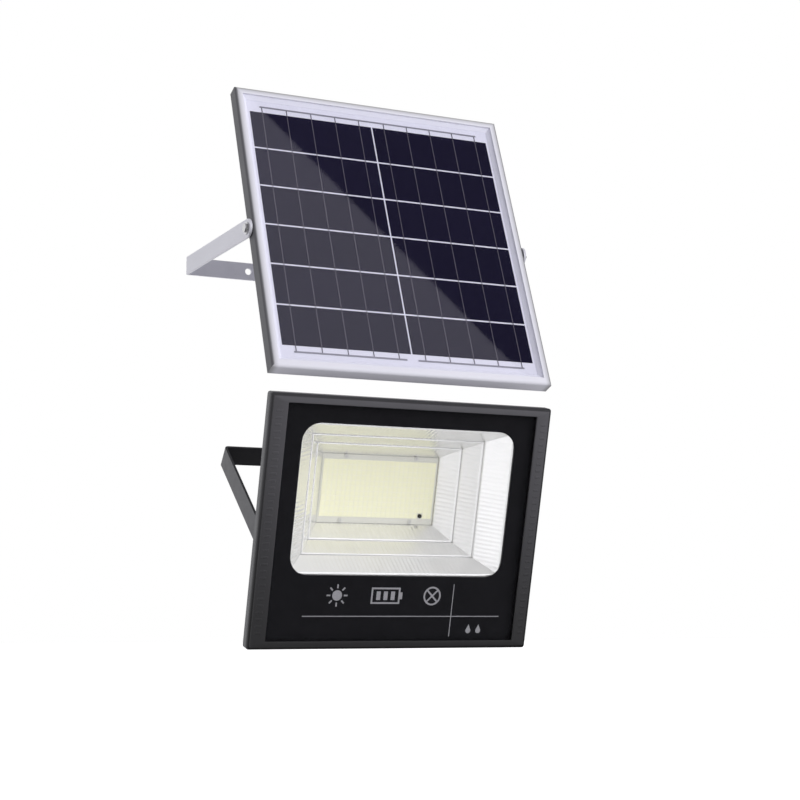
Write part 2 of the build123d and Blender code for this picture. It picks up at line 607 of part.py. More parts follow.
with BuildPart() as glass_gasket:
    with BuildSketch(at(LAMP, 0, LAMP_MIDDLE, gasket_back)):
        RectangleRounded(COVER_WIDTH, COVER_HEIGHT, GASKET_CORNER)
        RectangleRounded(COVER_WIDTH - 2 * GASKET_WIDTH, COVER_HEIGHT - 2 * GASKET_WIDTH,
                         GASKET_CORNER, mode=Mode.SUBTRACT)
    extrude(amount=GASKET_THICKNESS)
save(glass_gasket.part, "glass_gasket")

# Rear housing: flange, tapered box, cooling fins, pivot bosses and screw holes.
body_depth = flange_back - BODY_BACK
inner_depth = gasket_back - (BODY_BACK + BODY_WALL)
FLANGE_CORNER = 3.0
BODY_CORNER = 12.0
FIN_TAPER = 2.0
BOSS_RADIUS = 15.0
BOSS_OUTER_DEPTH = 8.0      # the outer boss stands proud of the tapered side wall
BOSS_INNER_START = 5.0
BOSS_INNER_RADIUS = 12.0
BOSS_DEPTH = 20.0
BOSS_END_WALL = 4.0
GLAND_X = 70.0
GLAND_Y = -74.0
VENT_X = -70.0
VENT_Y = -74.0
BOARD_SCREW_X = 90.0
BOARD_SCREW_Y = 76.0
BOARD_MIDDLE = 65.5
LAMP_GLAND_RADIUS = 7.5
LAMP_GLAND_ACROSS = 17.0
VENT_RADIUS = 5.0
VENT_SPIGOT = 3.0
HOLE_GAP = 0.1              # radial gap round the gland's and the vent's spigots
FLANGE_HOLE = 2.2
POST_X = 234.0
POST_Y = 36.0
POST_MIDDLE = -54.0
POST_TOP = 8.0
POST_RADIUS = 3.5
SMALL_SCREW_HOLE = 1.25
BOARD_HOLE_DEPTH = 2.4
POST_HOLE_DEPTH = 9.0
with BuildPart() as rear_housing:
    with BuildSketch(at(LAMP, 0, LAMP_MIDDLE, flange_back)):
        RectangleRounded(flange_width, flange_height, FLANGE_CORNER)
    extrude(amount=FLANGE_THICKNESS)
    with BuildSketch(at(LAMP, 0, LAMP_MIDDLE, flange_back)):
        RectangleRounded(BODY_WIDTH, BODY_HEIGHT, BODY_CORNER)
    extrude(amount=-body_depth, taper=BODY_TAPER)
    with BuildSketch(at(LAMP, 0, LAMP_MIDDLE, BODY_BACK)):
        with GridLocations(FIN_PITCH, 1, FIN_COUNT, 1):
            Rectangle(FIN_THICKNESS, FIN_LENGTH)
    extrude(amount=-FIN_HEIGHT, taper=FIN_TAPER)
    for side in (-1, 1):
        with BuildSketch(at(LAMP, side * LAMP_BOSS_FACE, 0, 0, x_dir=(0, 1, 0), z_dir=(-side, 0, 0))):
            Circle(BOSS_RADIUS)
        extrude(amount=BOSS_OUTER_DEPTH)
    with BuildSketch(at(LAMP, 0, LAMP_MIDDLE, gasket_back)):
        RectangleRounded(BODY_WIDTH - 2 * BODY_WALL, BODY_HEIGHT - 2 * BODY_WALL, BODY_CORNER - 2)
    extrude(amount=-inner_depth, taper=BODY_TAPER, mode=Mode.SUBTRACT)
    for side in (-1, 1):
        inner_boss = at(LAMP, side * (LAMP_BOSS_FACE - BOSS_INNER_START), 0, 0,
                        x_dir=(0, 1, 0), z_dir=(-side, 0, 0))
        with BuildSketch(inner_boss):
            Circle(BOSS_INNER_RADIUS)
        extrude(amount=BOSS_DEPTH - BOSS_INNER_START)
        with BuildSketch(at(LAMP, side * LAMP_BOSS_FACE, 0, 0, x_dir=(0, 1, 0), z_dir=(-side, 0, 0))):
            Circle(LAMP_BOLT_RADIUS)
        extrude(amount=BOSS_DEPTH - BOSS_END_WALL, mode=Mode.SUBTRACT)
    with BuildSketch(at(LAMP, 0, LAMP_MIDDLE, flange_back)):
        with GridLocations(BEZEL_SCREW_X, BEZEL_SCREW_Y, 2, 4):
            Circle(FLANGE_HOLE)
    extrude(amount=FLANGE_THICKNESS, mode=Mode.SUBTRACT)
    with BuildSketch(at(LAMP, GLAND_X, GLAND_Y, BODY_BACK + BODY_WALL)):
        Circle(LAMP_GLAND_RADIUS * SPIGOT_RATIO + HOLE_GAP)
    with BuildSketch(at(LAMP, VENT_X, VENT_Y, BODY_BACK + BODY_WALL)):
        Circle(VENT_SPIGOT + HOLE_GAP)
    extrude(amount=-BODY_WALL, mode=Mode.SUBTRACT)
    with BuildSketch(at(LAMP, 0, BOARD_MIDDLE, BODY_BACK + BODY_WALL)):
        with GridLocations(BOARD_SCREW_X, BOARD_SCREW_Y, 2, 2):
            Circle(SMALL_SCREW_HOLE)
    extrude(amount=-BOARD_HOLE_DEPTH, mode=Mode.SUBTRACT)
    with BuildSketch(at(LAMP, 0, POST_MIDDLE, BODY_BACK + BODY_WALL)):
        with GridLocations(POST_X, POST_Y, 2, 2):
            Circle(POST_RADIUS)
    extrude(amount=POST_TOP - BODY_BACK - BODY_WALL)
    with BuildSketch(at(LAMP, 0, POST_MIDDLE, POST_TOP)):
        with GridLocations(POST_X, POST_Y, 2, 2):
            Circle(SMALL_SCREW_HOLE)
    extrude(amount=-POST_HOLE_DEPTH, mode=Mode.SUBTRACT)
save(rear_housing.part, "rear_housing")


def cap_screws(name, frame, middle, grid, seat, direction, head, shank):
    """A grid of round-headed screws: head and shank are (radius, length) pairs."""
    with BuildPart() as screws:
        with BuildSketch(at(frame, 0, middle, seat)):
            with GridLocations(*grid):
                Circle(head[0])
        extrude(amount=-direction * head[1])
        with BuildSketch(at(frame, 0, middle, seat)):
            with GridLocations(*grid):
                Circle(shank[0])
        extrude(amount=direction * shank[1])
        with BuildSketch(at(frame, 0, middle, seat - direction * head[1])):
            with GridLocations(*grid):
                Rectangle(head[0] * 1.2, head[0] * 0.26)
                Rectangle(head[0] * 0.26, head[0] * 1.2)
        extrude(amount=direction * head[1] * 0.6, mode=Mode.SUBTRACT)
    save(screws.part, name)


cap_screws("bezel_screws", LAMP, LAMP_MIDDLE, (BEZEL_SCREW_X, BEZEL_SCREW_Y, 2, 4),
           flange_back, 1, (3.5, 2.6), (1.55, 8.5))

# Reflector: three sloping steps round the LEDs, and a rim that sits under the glass.
REFLECTOR_MIDDLE = 65.0
REFLECTOR_WALL = 1.0
REFLECTOR_RIM_WIDTH = 284.0
REFLECTOR_RIM_HEIGHT = 188.0
REFLECTOR_RIM_CORNER = 8.0
# Half width, half height and level of each edge, from the LEDs outwards.
reflector_steps = [(75.0, 41.0, -36.8), (92.0, 56.0, -13.0), (108.0, 68.5, 10.0), (133.0, 84.5, 38.0)]
with BuildPart() as reflector:
    for grow, mode in ((REFLECTOR_WALL, Mode.ADD), (0.0, Mode.SUBTRACT)):
        for low, high in zip(reflector_steps, reflector_steps[1:]):
            for half_x, half_y, level in (low, high):
                with BuildSketch(at(LAMP, 0, REFLECTOR_MIDDLE, level)):
                    Rectangle(2 * (half_x + grow), 2 * (half_y + grow))
            loft(ruled=True, mode=mode)
    with BuildSketch(at(LAMP, 0, REFLECTOR_MIDDLE, reflector_steps[-1][2])):
        RectangleRounded(REFLECTOR_RIM_WIDTH, REFLECTOR_RIM_HEIGHT, REFLECTOR_RIM_CORNER)
        Rectangle(2 * reflector_steps[-1][0], 2 * reflector_steps[-1][1], mode=Mode.SUBTRACT)
    extrude(amount=REFLECTOR_WALL)
save(reflector.part, "reflector")

# LED board on its thermal pad, with a dense grid of chips and a receiver dome near one corner.
BOARD_WIDTH = 158.0
BOARD_HEIGHT = 90.0
BOARD_THICKNESS = 2.0
BOARD_CORNER = 2.0
BOARD_HOLE = 1.7
PAD_INSET = 1.0
PAD_HOLE = 1.8
PAD_THICKNESS = 1.0
CHIP_COLUMNS = 24
CHIP_ROWS = 11
CHIP_AREA_WIDTH = 145.0
CHIP_AREA_HEIGHT = 68.0
CHIP_WIDTH = 5.6
CHIP_HEIGHT = 5.8
CHIP_THICKNESS = 0.9
RECEIVER_COLUMN = 21        # the receiver dome takes the place of this chip in the lowest row
body_floor = BODY_BACK + BODY_WALL
board_low = body_floor + PAD_THICKNESS
board_top = board_low + BOARD_THICKNESS
chip_pitch_x = CHIP_AREA_WIDTH / CHIP_COLUMNS
chip_pitch_y = CHIP_AREA_HEIGHT / CHIP_ROWS
receiver_x = (RECEIVER_COLUMN - (CHIP_COLUMNS - 1) / 2) * chip_pitch_x
receiver_y = BOARD_MIDDLE - (CHIP_ROWS - 1) / 2 * chip_pitch_y

with BuildPart() as thermal_pad:
    with BuildSketch(at(LAMP, 0, BOARD_MIDDLE, body_floor)):
        Rectangle(BOARD_WIDTH - 2 * PAD_INSET, BOARD_HEIGHT - 2 * PAD_INSET)
        with GridLocations(BOARD_SCREW_X, BOARD_SCREW_Y, 2, 2):
            Circle(PAD_HOLE, mode=Mode.SUBTRACT)
    extrude(amount=PAD_THICKNESS)
save(thermal_pad.part, "thermal_pad")

with BuildPart() as led_board:
    with BuildSketch(at(LAMP, 0, BOARD_MIDDLE, board_low)):
        RectangleRounded(BOARD_WIDTH, BOARD_HEIGHT, BOARD_CORNER)
        with GridLocations(BOARD_SCREW_X, BOARD_SCREW_Y, 2, 2):
            Circle(BOARD_HOLE, mode=Mode.SUBTRACT)
    extrude(amount=BOARD_THICKNESS)
save(led_board.part, "led_board")

chip_places = []
for column in range(CHIP_COLUMNS):
    for row in range(CHIP_ROWS):
        if (column, row) != (RECEIVER_COLUMN, 0):
            chip_x = (column - (CHIP_COLUMNS - 1) / 2) * chip_pitch_x
            chip_y = (row - (CHIP_ROWS - 1) / 2) * chip_pitch_y
            chip_places.append((chip_x, chip_y))
with BuildPart() as led_chips:
    with BuildSketch(at(LAMP, 0, BOARD_MIDDLE, board_top)):
        with Locations(*chip_places):
            Rectangle(CHIP_WIDTH, CHIP_HEIGHT)
    extrude(amount=CHIP_THICKNESS)
save(led_chips.part, "led_chips")

cap_screws("led_board_screws", LAMP, BOARD_MIDDLE, (BOARD_SCREW_X, BOARD_SCREW_Y, 2, 2),
           board_top, -1, (2.5, 1.8), (1.2, 5.0))

RECEIVER_RADIUS = 2.4
RECEIVER_HEIGHT = 3.2
with BuildPart() as ir_receiver:
    with BuildSketch(at(LAMP, receiver_x, receiver_y, board_top)):
        Circle(RECEIVER_RADIUS)
    extrude(amount=RECEIVER_HEIGHT)
    dome_rim = ir_receiver.edges().filter_by(GeomType.CIRCLE).sort_by(Axis(LAMP.origin, LAMP.z_dir))[-1]
    fillet(dome_rim, RECEIVER_RADIUS * 0.8)
save(ir_receiver.part, "ir_receiver")

# Battery: two rows of three cells in a grooved holder, under two straps.
BATTERY_RADIUS = 16.0
BATTERY_LENGTH = 70.0
BATTERY_PITCH = 72.0
BATTERY_CAP = (5.0, 1.5)    # radius and height of the raised end
BATTERY_GAP = 0.15
BATTERY_AXIS = -20.0
BATTERY_MIDDLE = -31.0
BATTERY_ROW_PITCH = 34.0
HOLDER_TOP = -30.0
HOLDER_WIDTH = 222.0
HOLDER_HEIGHT = 72.0
STRAP_WIDTH = 9.0
STRAP_THICKNESS = 0.9
STRAP_X = 54.0
battery_rows = (BATTERY_MIDDLE - BATTERY_ROW_PITCH / 2, BATTERY_MIDDLE + BATTERY_ROW_PITCH / 2)
with BuildPart() as battery_cells:
    for row_y in battery_rows:
        for column in (-1, 0, 1):
            low_end = column * BATTERY_PITCH - BATTERY_LENGTH / 2
            with BuildSketch(at(LAMP, low_end, row_y, BATTERY_AXIS, x_dir=(0, 1, 0), z_dir=(1, 0, 0))):
                Circle(BATTERY_RADIUS)
            extrude(amount=BATTERY_LENGTH - BATTERY_CAP[1])
            cell_end = at(LAMP, low_end + BATTERY_LENGTH - BATTERY_CAP[1], row_y, BATTERY_AXIS,
                          x_dir=(0, 1, 0), z_dir=(1, 0, 0))
            with BuildSketch(cell_end):
                Circle(BATTERY_CAP[0])
            extrude(amount=BATTERY_CAP[1])
save(battery_cells.part, "battery_cells")

with BuildPart() as battery_holder:
    with BuildSketch(at(LAMP, 0, BATTERY_MIDDLE, body_floor)):
        Rectangle(HOLDER_WIDTH, HOLDER_HEIGHT)
    extrude(amount=HOLDER_TOP - body_floor)
    for row_y in battery_rows:
        groove = at(LAMP, -HOLDER_WIDTH / 2, row_y, BATTERY_AXIS, x_dir=(0, 1, 0), z_dir=(1, 0, 0))
        with BuildSketch(groove):
            Circle(BATTERY_RADIUS + BATTERY_GAP)
        extrude(amount=HOLDER_WIDTH, mode=Mode.SUBTRACT)
save(battery_holder.part, "battery_holder")

with BuildPart() as battery_straps:
    for side in (-1, 1):
        strap_plane = at(LAMP, side * STRAP_X - STRAP_WIDTH / 2, BATTERY_MIDDLE, BATTERY_AXIS,
                         x_dir=(0, 1, 0), z_dir=(1, 0, 0))
        inside = BATTERY_RADIUS + BATTERY_GAP
        outside = inside + STRAP_THICKNESS
        leg = BATTERY_AXIS - HOLDER_TOP
        with BuildSketch(strap_plane):
            for reach, mode in ((outside, Mode.ADD), (inside, Mode.SUBTRACT)):
                SlotCenterToCenter(BATTERY_ROW_PITCH, 2 * reach, mode=mode)
                with Locations((0, -leg / 2)):
                    Rectangle(BATTERY_ROW_PITCH + 2 * reach, leg, mode=mode)
            with Locations((0, -leg - BATTERY_RADIUS)):
                Rectangle(BATTERY_ROW_PITCH + 4 * BATTERY_RADIUS, 2 * BATTERY_RADIUS, mode=Mode.SUBTRACT)
        extrude(amount=STRAP_WIDTH)
save(battery_straps.part, "battery_straps")

# Charge controller: a board on four posts in front of the battery, with its parts on the front.
PCB_WIDTH = 246.0
PCB_HEIGHT = 46.0
PCB_THICKNESS = 1.6
PCB_CORNER = 3.0
PCB_HOLE = 1.6
pcb_top = POST_TOP + PCB_THICKNESS
with BuildPart() as controller_board:
    with BuildSketch(at(LAMP, 0, POST_MIDDLE, POST_TOP)):
        RectangleRounded(PCB_WIDTH, PCB_HEIGHT, PCB_CORNER)
        with GridLocations(POST_X, POST_Y, 2, 2):
            Circle(PCB_HOLE, mode=Mode.SUBTRACT)
    extrude(amount=PCB_THICKNESS)
save(controller_board.part, "controller_board")

cap_screws("controller_screws", LAMP, POST_MIDDLE, (POST_X, POST_Y, 2, 2),
           pcb_top, -1, (2.6, 1.8), (1.2, 8.0))

# Sizes and places of the parts on the board, from the board's middle.
CAPACITOR_RADIUS = 6.3
CAPACITOR_HEIGHT = 12.0
CAPACITOR_PLACES = [(-80, 4), (-62, 4)]
INDUCTOR_RADIUS = 11.0
INDUCTOR_HOLE = 5.0
INDUCTOR_HEIGHT = 8.0
INDUCTOR_PLACE = (-30, 0)
CHIP_HEIGHT_ABOVE = 1.8
DRIVER_CHIPS = [(4, 4, 7, 5), (20, -6, 5, 6), (32, 6, 10, 9), (44, 6, 10, 9)]   # x, y, width, height
CONNECTOR_WIDTH = 12.0
CONNECTOR_HEIGHT = 8.0
CONNECTOR_DEPTH = 7.0
CONNECTOR_PLACES = [(66, -8), (84, -8), (102, -8)]
with BuildPart() as controller_components:
    with BuildSketch(at(LAMP, 0, POST_MIDDLE, pcb_top)):
        with Locations(*CAPACITOR_PLACES):
            Circle(CAPACITOR_RADIUS)
    extrude(amount=CAPACITOR_HEIGHT)
    with BuildSketch(at(LAMP, 0, POST_MIDDLE, pcb_top)):
        with Locations(INDUCTOR_PLACE):
            Circle(INDUCTOR_RADIUS)
            Circle(INDUCTOR_HOLE, mode=Mode.SUBTRACT)
    extrude(amount=INDUCTOR_HEIGHT)
    with BuildSketch(at(LAMP, 0, POST_MIDDLE, pcb_top)):
        for chip_x, chip_y, chip_width, chip_height in DRIVER_CHIPS:
            with Locations((chip_x, chip_y)):
                Rectangle(chip_width, chip_height)
    extrude(amount=CHIP_HEIGHT_ABOVE)
    with BuildSketch(at(LAMP, 0, POST_MIDDLE, pcb_top)):
        with Locations(*CONNECTOR_PLACES):
            Rectangle(CONNECTOR_WIDTH, CONNECTOR_HEIGHT)
    extrude(amount=CONNECTOR_DEPTH)
save(controller_components.part, "controller_components")

# Cable gland and breather vent in the housing's back, either side of the fins' lower end.
lamp_gland_seat = (GLAND_X, GLAND_Y, BODY_BACK)
save(gland(LAMP, lamp_gland_seat, (0, 0, -1), LAMP_GLAND_ACROSS, LAMP_GLAND_RADIUS), "lamp_cable_gland")

VENT_HEX_ACROSS = 12.0
VENT_HEX_HEIGHT = 2.0
VENT_CAP_HEIGHT = 4.0
VENT_SPIGOT_LENGTH = 4.5
VENT_SLOTS = 6
VENT_SLOT = (3.0, 1.0, 2.2)         # length, width and depth
vent_cap_back = BODY_BACK - VENT_HEX_HEIGHT - VENT_CAP_HEIGHT
with BuildPart() as breather_vent:
    with BuildSketch(at(LAMP, VENT_X, VENT_Y, BODY_BACK)):
        Circle(VENT_SPIGOT)
    extrude(amount=VENT_SPIGOT_LENGTH)
    with BuildSketch(at(LAMP, VENT_X, VENT_Y, BODY_BACK)):
        RegularPolygon(VENT_HEX_ACROSS / 2, 6, major_radius=False)
    extrude(amount=-VENT_HEX_HEIGHT)
    with BuildSketch(at(LAMP, VENT_X, VENT_Y, BODY_BACK - VENT_HEX_HEIGHT)):
        Circle(VENT_RADIUS)
    extrude(amount=-VENT_CAP_HEIGHT)
    with BuildSketch(at(LAMP, VENT_X, VENT_Y, vent_cap_back)):
        with PolarLocations(VENT_RADIUS, VENT_SLOTS):
            Rectangle(VENT_SLOT[0], VENT_SLOT[1])
    extrude(amount=VENT_SLOT[2], mode=Mode.SUBTRACT)
save(breather_vent.part, "breather_vent")

# Pivot bolts screw into the housing's side bosses, over toothed washers.
LAMP_WASHER = 1.0
LAMP_HEAD_ACROSS = 13.0
LAMP_HEAD_HEIGHT = 5.3
LAMP_HEAD_FLANGE = (8.58, 1.3)      # radius and thickness
LAMP_BOLT_DEPTH = 15.5
TOOTH_COUNT = 12
TOOTH_SIZE = (2.2, 1.6)
TOOTH_MIDDLE = 8.2
LAMP_WASHER_RADIUS = 8.0
lamp_head_seat = LAMP_ARM_INSIDE + BAR_THICKNESS + FACE_GAP
lamp_shank_radius = LAMP_BOLT_RADIUS - 0.03
with BuildPart() as lamp_pivot_bolts:
    for side in (-1, 1):
        shank_start = side * (LAMP_BOSS_FACE - LAMP_BOLT_DEPTH)
        with BuildSketch(at(LAMP, shank_start, 0, 0, x_dir=(0, 1, 0), z_dir=(side, 0, 0))):
            Circle(lamp_shank_radius)
        extrude(amount=lamp_head_seat - LAMP_BOSS_FACE + LAMP_BOLT_DEPTH)
        with BuildSketch(at(LAMP, side * lamp_head_seat, 0, 0, x_dir=(0, 1, 0), z_dir=(side, 0, 0))):
            Circle(LAMP_HEAD_FLANGE[0])
        extrude(amount=LAMP_HEAD_FLANGE[1])
        with BuildSketch(at(LAMP, side * lamp_head_seat, 0, 0, x_dir=(0, 1, 0), z_dir=(side, 0, 0))):
            RegularPolygon(LAMP_HEAD_ACROSS / 2, 6, major_radius=False)
        extrude(amount=LAMP_HEAD_FLANGE[1] + LAMP_HEAD_HEIGHT)
save(lamp_pivot_bolts.part, "lamp_pivot_bolts")

with BuildPart() as lamp_pivot_washers:
    for side in (-1, 1):
        with BuildSketch(at(LAMP, side * LAMP_BOSS_FACE, 0, 0, x_dir=(0, 1, 0), z_dir=(side, 0, 0))):
            Circle(LAMP_WASHER_RADIUS)
            with PolarLocations(TOOTH_MIDDLE, TOOTH_COUNT):
                Rectangle(TOOTH_SIZE[0], TOOTH_SIZE[1])
            Circle(LAMP_BOLT_RADIUS + 0.1, mode=Mode.SUBTRACT)
        extrude(amount=LAMP_WASHER)
save(lamp_pivot_washers.part, "lamp_pivot_washers")

# =====================================================================================
# Brackets
# =====================================================================================

def u_bracket(name, flat, inside, length, bar, hole, base_holes):
    """A U-bracket bent from flat bar: rounded arm ends with pivot holes, and holes in the base.

    flat is the plane of the U, with its origin on the pivot axis and Y along the arms.
    base_holes lists (x, radius) of the holes through the base.
    """
    outside = inside + BAR_THICKNESS
    with BuildPart() as bracket:
        with BuildSketch(flat):
            with Locations((0, length / 2)):
                Rectangle(2 * outside, length)
            with Locations((0, (length - BAR_THICKNESS) / 2)):
                Rectangle(2 * inside, length - BAR_THICKNESS, mode=Mode.SUBTRACT)
        extrude(amount=bar / 2, both=True)
        bends = bracket.edges().filter_by(Axis(flat.origin, flat.z_dir)).group_by(
            Axis(flat.origin, flat.y_dir))
        fillet(bends[-1], BEND_RADIUS)
        inner_bends = bracket.edges().filter_by(Axis(flat.origin, flat.z_dir)).group_by(
            Axis(flat.origin, flat.y_dir))
        fillet(inner_bends[-2], BEND_RADIUS - BAR_THICKNESS)
        for side in (-1, 1):
            with BuildSketch(at(flat, side * inside, 0, 0, x_dir=(0, 1, 0), z_dir=(side, 0, 0))):
                Circle(bar / 2)
            extrude(amount=BAR_THICKNESS)
            with BuildSketch(at(flat, side * inside, 0, 0, x_dir=(0, 1, 0), z_dir=(side, 0, 0))):
                Circle(hole)
            extrude(amount=BAR_THICKNESS, mode=Mode.SUBTRACT)
        for hole_x, radius in base_holes:
            with BuildSketch(at(flat, hole_x, length, 0, x_dir=(1, 0, 0), z_dir=(0, -1, 0))):
                Circle(radius)
            extrude(amount=BAR_THICKNESS, mode=Mode.SUBTRACT)
    save(bracket.part, name)


panel_flat = Plane(origin=PANEL_PIVOT, x_dir=(1, 0, 0), z_dir=(0, 0, 1))
u_bracket("panel_bracket", panel_flat, PANEL_ARM_INSIDE, -PANEL_PIVOT.Y, PANEL_BAR,
          PANEL_BOLT_RADIUS + RUNNING_GAP,
          [(-PANEL_MOUNT_SPACING / 2, PANEL_MOUNT_RADIUS), (PANEL_MOUNT_SPACING / 2, PANEL_MOUNT_RADIUS)])

lamp_flat = Plane(origin=LAMP_PIVOT, x_dir=(1, 0, 0), z_dir=Vector(1, 0, 0).cross(arm_out))
u_bracket("lamp_bracket", lamp_flat, LAMP_ARM_INSIDE, LAMP_ARM_LENGTH, LAMP_BAR,
          lamp_shank_radius + RUNNING_GAP,
          [(0, LAMP_CENTRE_HOLE), (-LAMP_SIDE_SPACING / 2, LAMP_SIDE_HOLE),
           (LAMP_SIDE_SPACING / 2, LAMP_SIDE_HOLE)])
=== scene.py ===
import json
import math

import bmesh
import bpy
from mathutils import Matrix, Vector


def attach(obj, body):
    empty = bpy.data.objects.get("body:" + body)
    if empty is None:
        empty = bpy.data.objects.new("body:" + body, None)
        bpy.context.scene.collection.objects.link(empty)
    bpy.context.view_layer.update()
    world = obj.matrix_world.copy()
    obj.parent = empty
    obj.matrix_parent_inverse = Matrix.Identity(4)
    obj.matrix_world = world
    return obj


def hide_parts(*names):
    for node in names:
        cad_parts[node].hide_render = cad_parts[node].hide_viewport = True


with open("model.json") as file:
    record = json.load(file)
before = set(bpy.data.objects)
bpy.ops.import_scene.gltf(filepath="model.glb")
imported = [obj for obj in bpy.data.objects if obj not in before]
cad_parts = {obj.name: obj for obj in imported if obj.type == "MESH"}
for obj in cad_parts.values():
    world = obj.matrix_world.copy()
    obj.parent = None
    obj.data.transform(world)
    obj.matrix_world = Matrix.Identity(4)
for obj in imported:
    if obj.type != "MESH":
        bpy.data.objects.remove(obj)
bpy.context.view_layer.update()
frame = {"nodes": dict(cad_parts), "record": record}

# Every piece is laid out in millimetres in the frame of its own unit: X along the pivot, Y up the
# unit's face, Z out of the front, from the middle of the pivot. These matrices turn it into metres.
MM = 0.001
PANEL_LEAN = 21.0
LAMP_LEAN = -14.5


def unit_matrix(pivot, lean):
    """From a unit's frame in millimetres to the shared frame in metres."""
    turn = Matrix.Rotation(math.radians(90.0 - lean), 4, "X")
    return Matrix.Translation(Vector(pivot)) @ turn @ Matrix.Scale(MM, 4)


PANEL = unit_matrix((0, -0.227, 0), PANEL_LEAN)
LAMP = unit_matrix((0, -0.215, -0.362), LAMP_LEAN)

# The outlines of both units: half widths and half heights round the middle of each face.
PANEL_HALF = (175.0, 190.0)
PANEL_MIDDLE = 5.0
BEZEL = (175.0, 143.5)
LAMP_MIDDLE = 38.0

# =====================================================================================
# Material helpers
# =====================================================================================


def node(tree, kind, links=None, values=None, **settings):
    """Adds a shader node, sets its properties and socket values, and links other nodes' outputs to it."""
    made = tree.nodes.new("ShaderNode" + kind)
    for key, value in settings.items():
        setattr(made, key, value)
    for key, value in (values or {}).items():
        made.inputs[key].default_value = value
    for key, source in (links or {}).items():
        tree.links.new(source, made.inputs[key])
    return made


def calc(tree, operation, first, second=0.0, third=None):
    """A Math node on sockets or plain numbers."""
    made = node(tree, "Math", operation=operation)
    for index, value in enumerate((first, second, third)):
        if value is None:
            continue
        if isinstance(value, (int, float)):
            made.inputs[index].default_value = value
        else:
            tree.links.new(value, made.inputs[index])
    return made.outputs[0]


def mix_colour(tree, factor, first, second):
    """Blends two colours, given as sockets or as RGB triples."""
    made = node(tree, "Mix", data_type="RGBA")
    for key, value in ((0, factor), (6, first), (7, second)):
        if isinstance(value, (int, float)):
            made.inputs[key].default_value = value
        elif isinstance(value, (tuple, list)):
            made.inputs[key].default_value = (*value[:3], 1.0)
        else:
            tree.links.new(value, made.inputs[key])
    return made.outputs[2]


def spread(tree, value, low, high):
    """Maps a 0 to 1 value onto low to high."""
    return node(tree, "MapRange", {"Value": value}, {"To Min": low, "To Max": high}).outputs[0]


def new_material(name):
    """An empty node material: its tree, its surface shader and its output."""
    made = bpy.data.materials.new(name)
    made.use_nodes = True
    tree = made.node_tree
    tree.nodes.clear()
    output = node(tree, "OutputMaterial")
    shader = node(tree, "BsdfPrincipled")
    tree.links.new(shader.outputs[0], output.inputs[0])
    return made, tree, shader, output


def local_metres(tree, unit, stretch=(1.0, 1.0, 1.0)):
    """Coordinates on the object, in metres, turned into a unit's frame and stretched."""
    place = node(tree, "TexCoord").outputs["Object"]
    if unit is not None:
        turned = node(tree, "Mapping", {"Vector": place}, vector_type="TEXTURE")
        turned.inputs["Location"].default_value = unit.to_translation()
        turned.inputs["Rotation"].default_value = unit.to_euler()
        place = turned.outputs[0]
    return node(tree, "Mapping", {"Vector": place}, {"Scale": stretch}).outputs[0]


def noise(tree, place, scale, detail=3.0):
    """Noise whose scale is in grains per metre."""
    return node(tree, "TexNoise", {"Vector": place}, {"Scale": scale, "Detail": detail}).outputs[0]


def bump(tree, height, depth, strength=1.0, under=None):
    """A bump of a real depth in metres."""
    links = {"Height": height}
    if under is not None:
        links["Normal"] = under
    return node(tree, "Bump", links, {"Distance": depth, "Strength": strength}).outputs[0]


GRAIN_SHARE = 0.35
GRAIN_TONE = 0.85
SCUFF_STRETCH = (1.0, 6.0, 1.0)
SCUFF_SCALE = 140.0
SCUFF_RANGE = (0.68, 0.80)
SCUFF_ROUGH = 0.15
COAT_ROUGH = 0.15


def finish(name, colour, rough, metallic=0.0, vary=0.06, blotch=25.0, grain=900.0, grain_depth=0.00004,
           stretch=(1.0, 1.0, 1.0), rough_vary=0.06, scuff=0.0, scuff_colour=(0.5, 0.5, 0.5), unit=None,
           coat=0.0, specular=0.5):
    """A plain finish with uneven colour and roughness, fine grain and optional scuffs."""
    made, tree, shader, _ = new_material(name)
    place = local_metres(tree, unit, stretch)
    broad = noise(tree, place, blotch, 4.0)
    fine = noise(tree, place, grain, 2.0)
    dark = tuple(c * (1.0 - vary) for c in colour)
    light = tuple(min(1.0, c * (1.0 + vary)) for c in colour)
    paint = mix_colour(tree, broad, dark, light)
    specks = calc(tree, "MULTIPLY", fine, GRAIN_SHARE)
    paint = mix_colour(tree, specks, paint, tuple(c * GRAIN_TONE for c in colour))
    roughness = spread(tree, noise(tree, place, blotch * 3.0), rough - rough_vary, rough + rough_vary)
    if scuff:
        marks = noise(tree, local_metres(tree, unit, SCUFF_STRETCH), SCUFF_SCALE, 6.0)
        limits = {"From Min": SCUFF_RANGE[0], "From Max": SCUFF_RANGE[1]}
        worn = node(tree, "MapRange", {"Value": marks}, limits).outputs[0]
        worn = calc(tree, "MULTIPLY", worn, scuff)
        paint = mix_colour(tree, worn, paint, scuff_colour)
        roughness = calc(tree, "ADD", roughness, calc(tree, "MULTIPLY", worn, SCUFF_ROUGH))
    tree.links.new(paint, shader.inputs["Base Color"])
    tree.links.new(roughness, shader.inputs["Roughness"])
    tree.links.new(bump(tree, fine, grain_depth), shader.inputs["Normal"])
    shader.inputs["Metallic"].default_value = metallic
    shader.inputs["Coat Weight"].default_value = coat
    shader.inputs["Specular IOR Level"].default_value = specular
    shader.inputs["Coat Roughness"].default_value = COAT_ROUGH
    return made


WAVE_SCALE = 14.0
SMEAR_SCALE = 9.0
MIRROR_RISE = 5.0


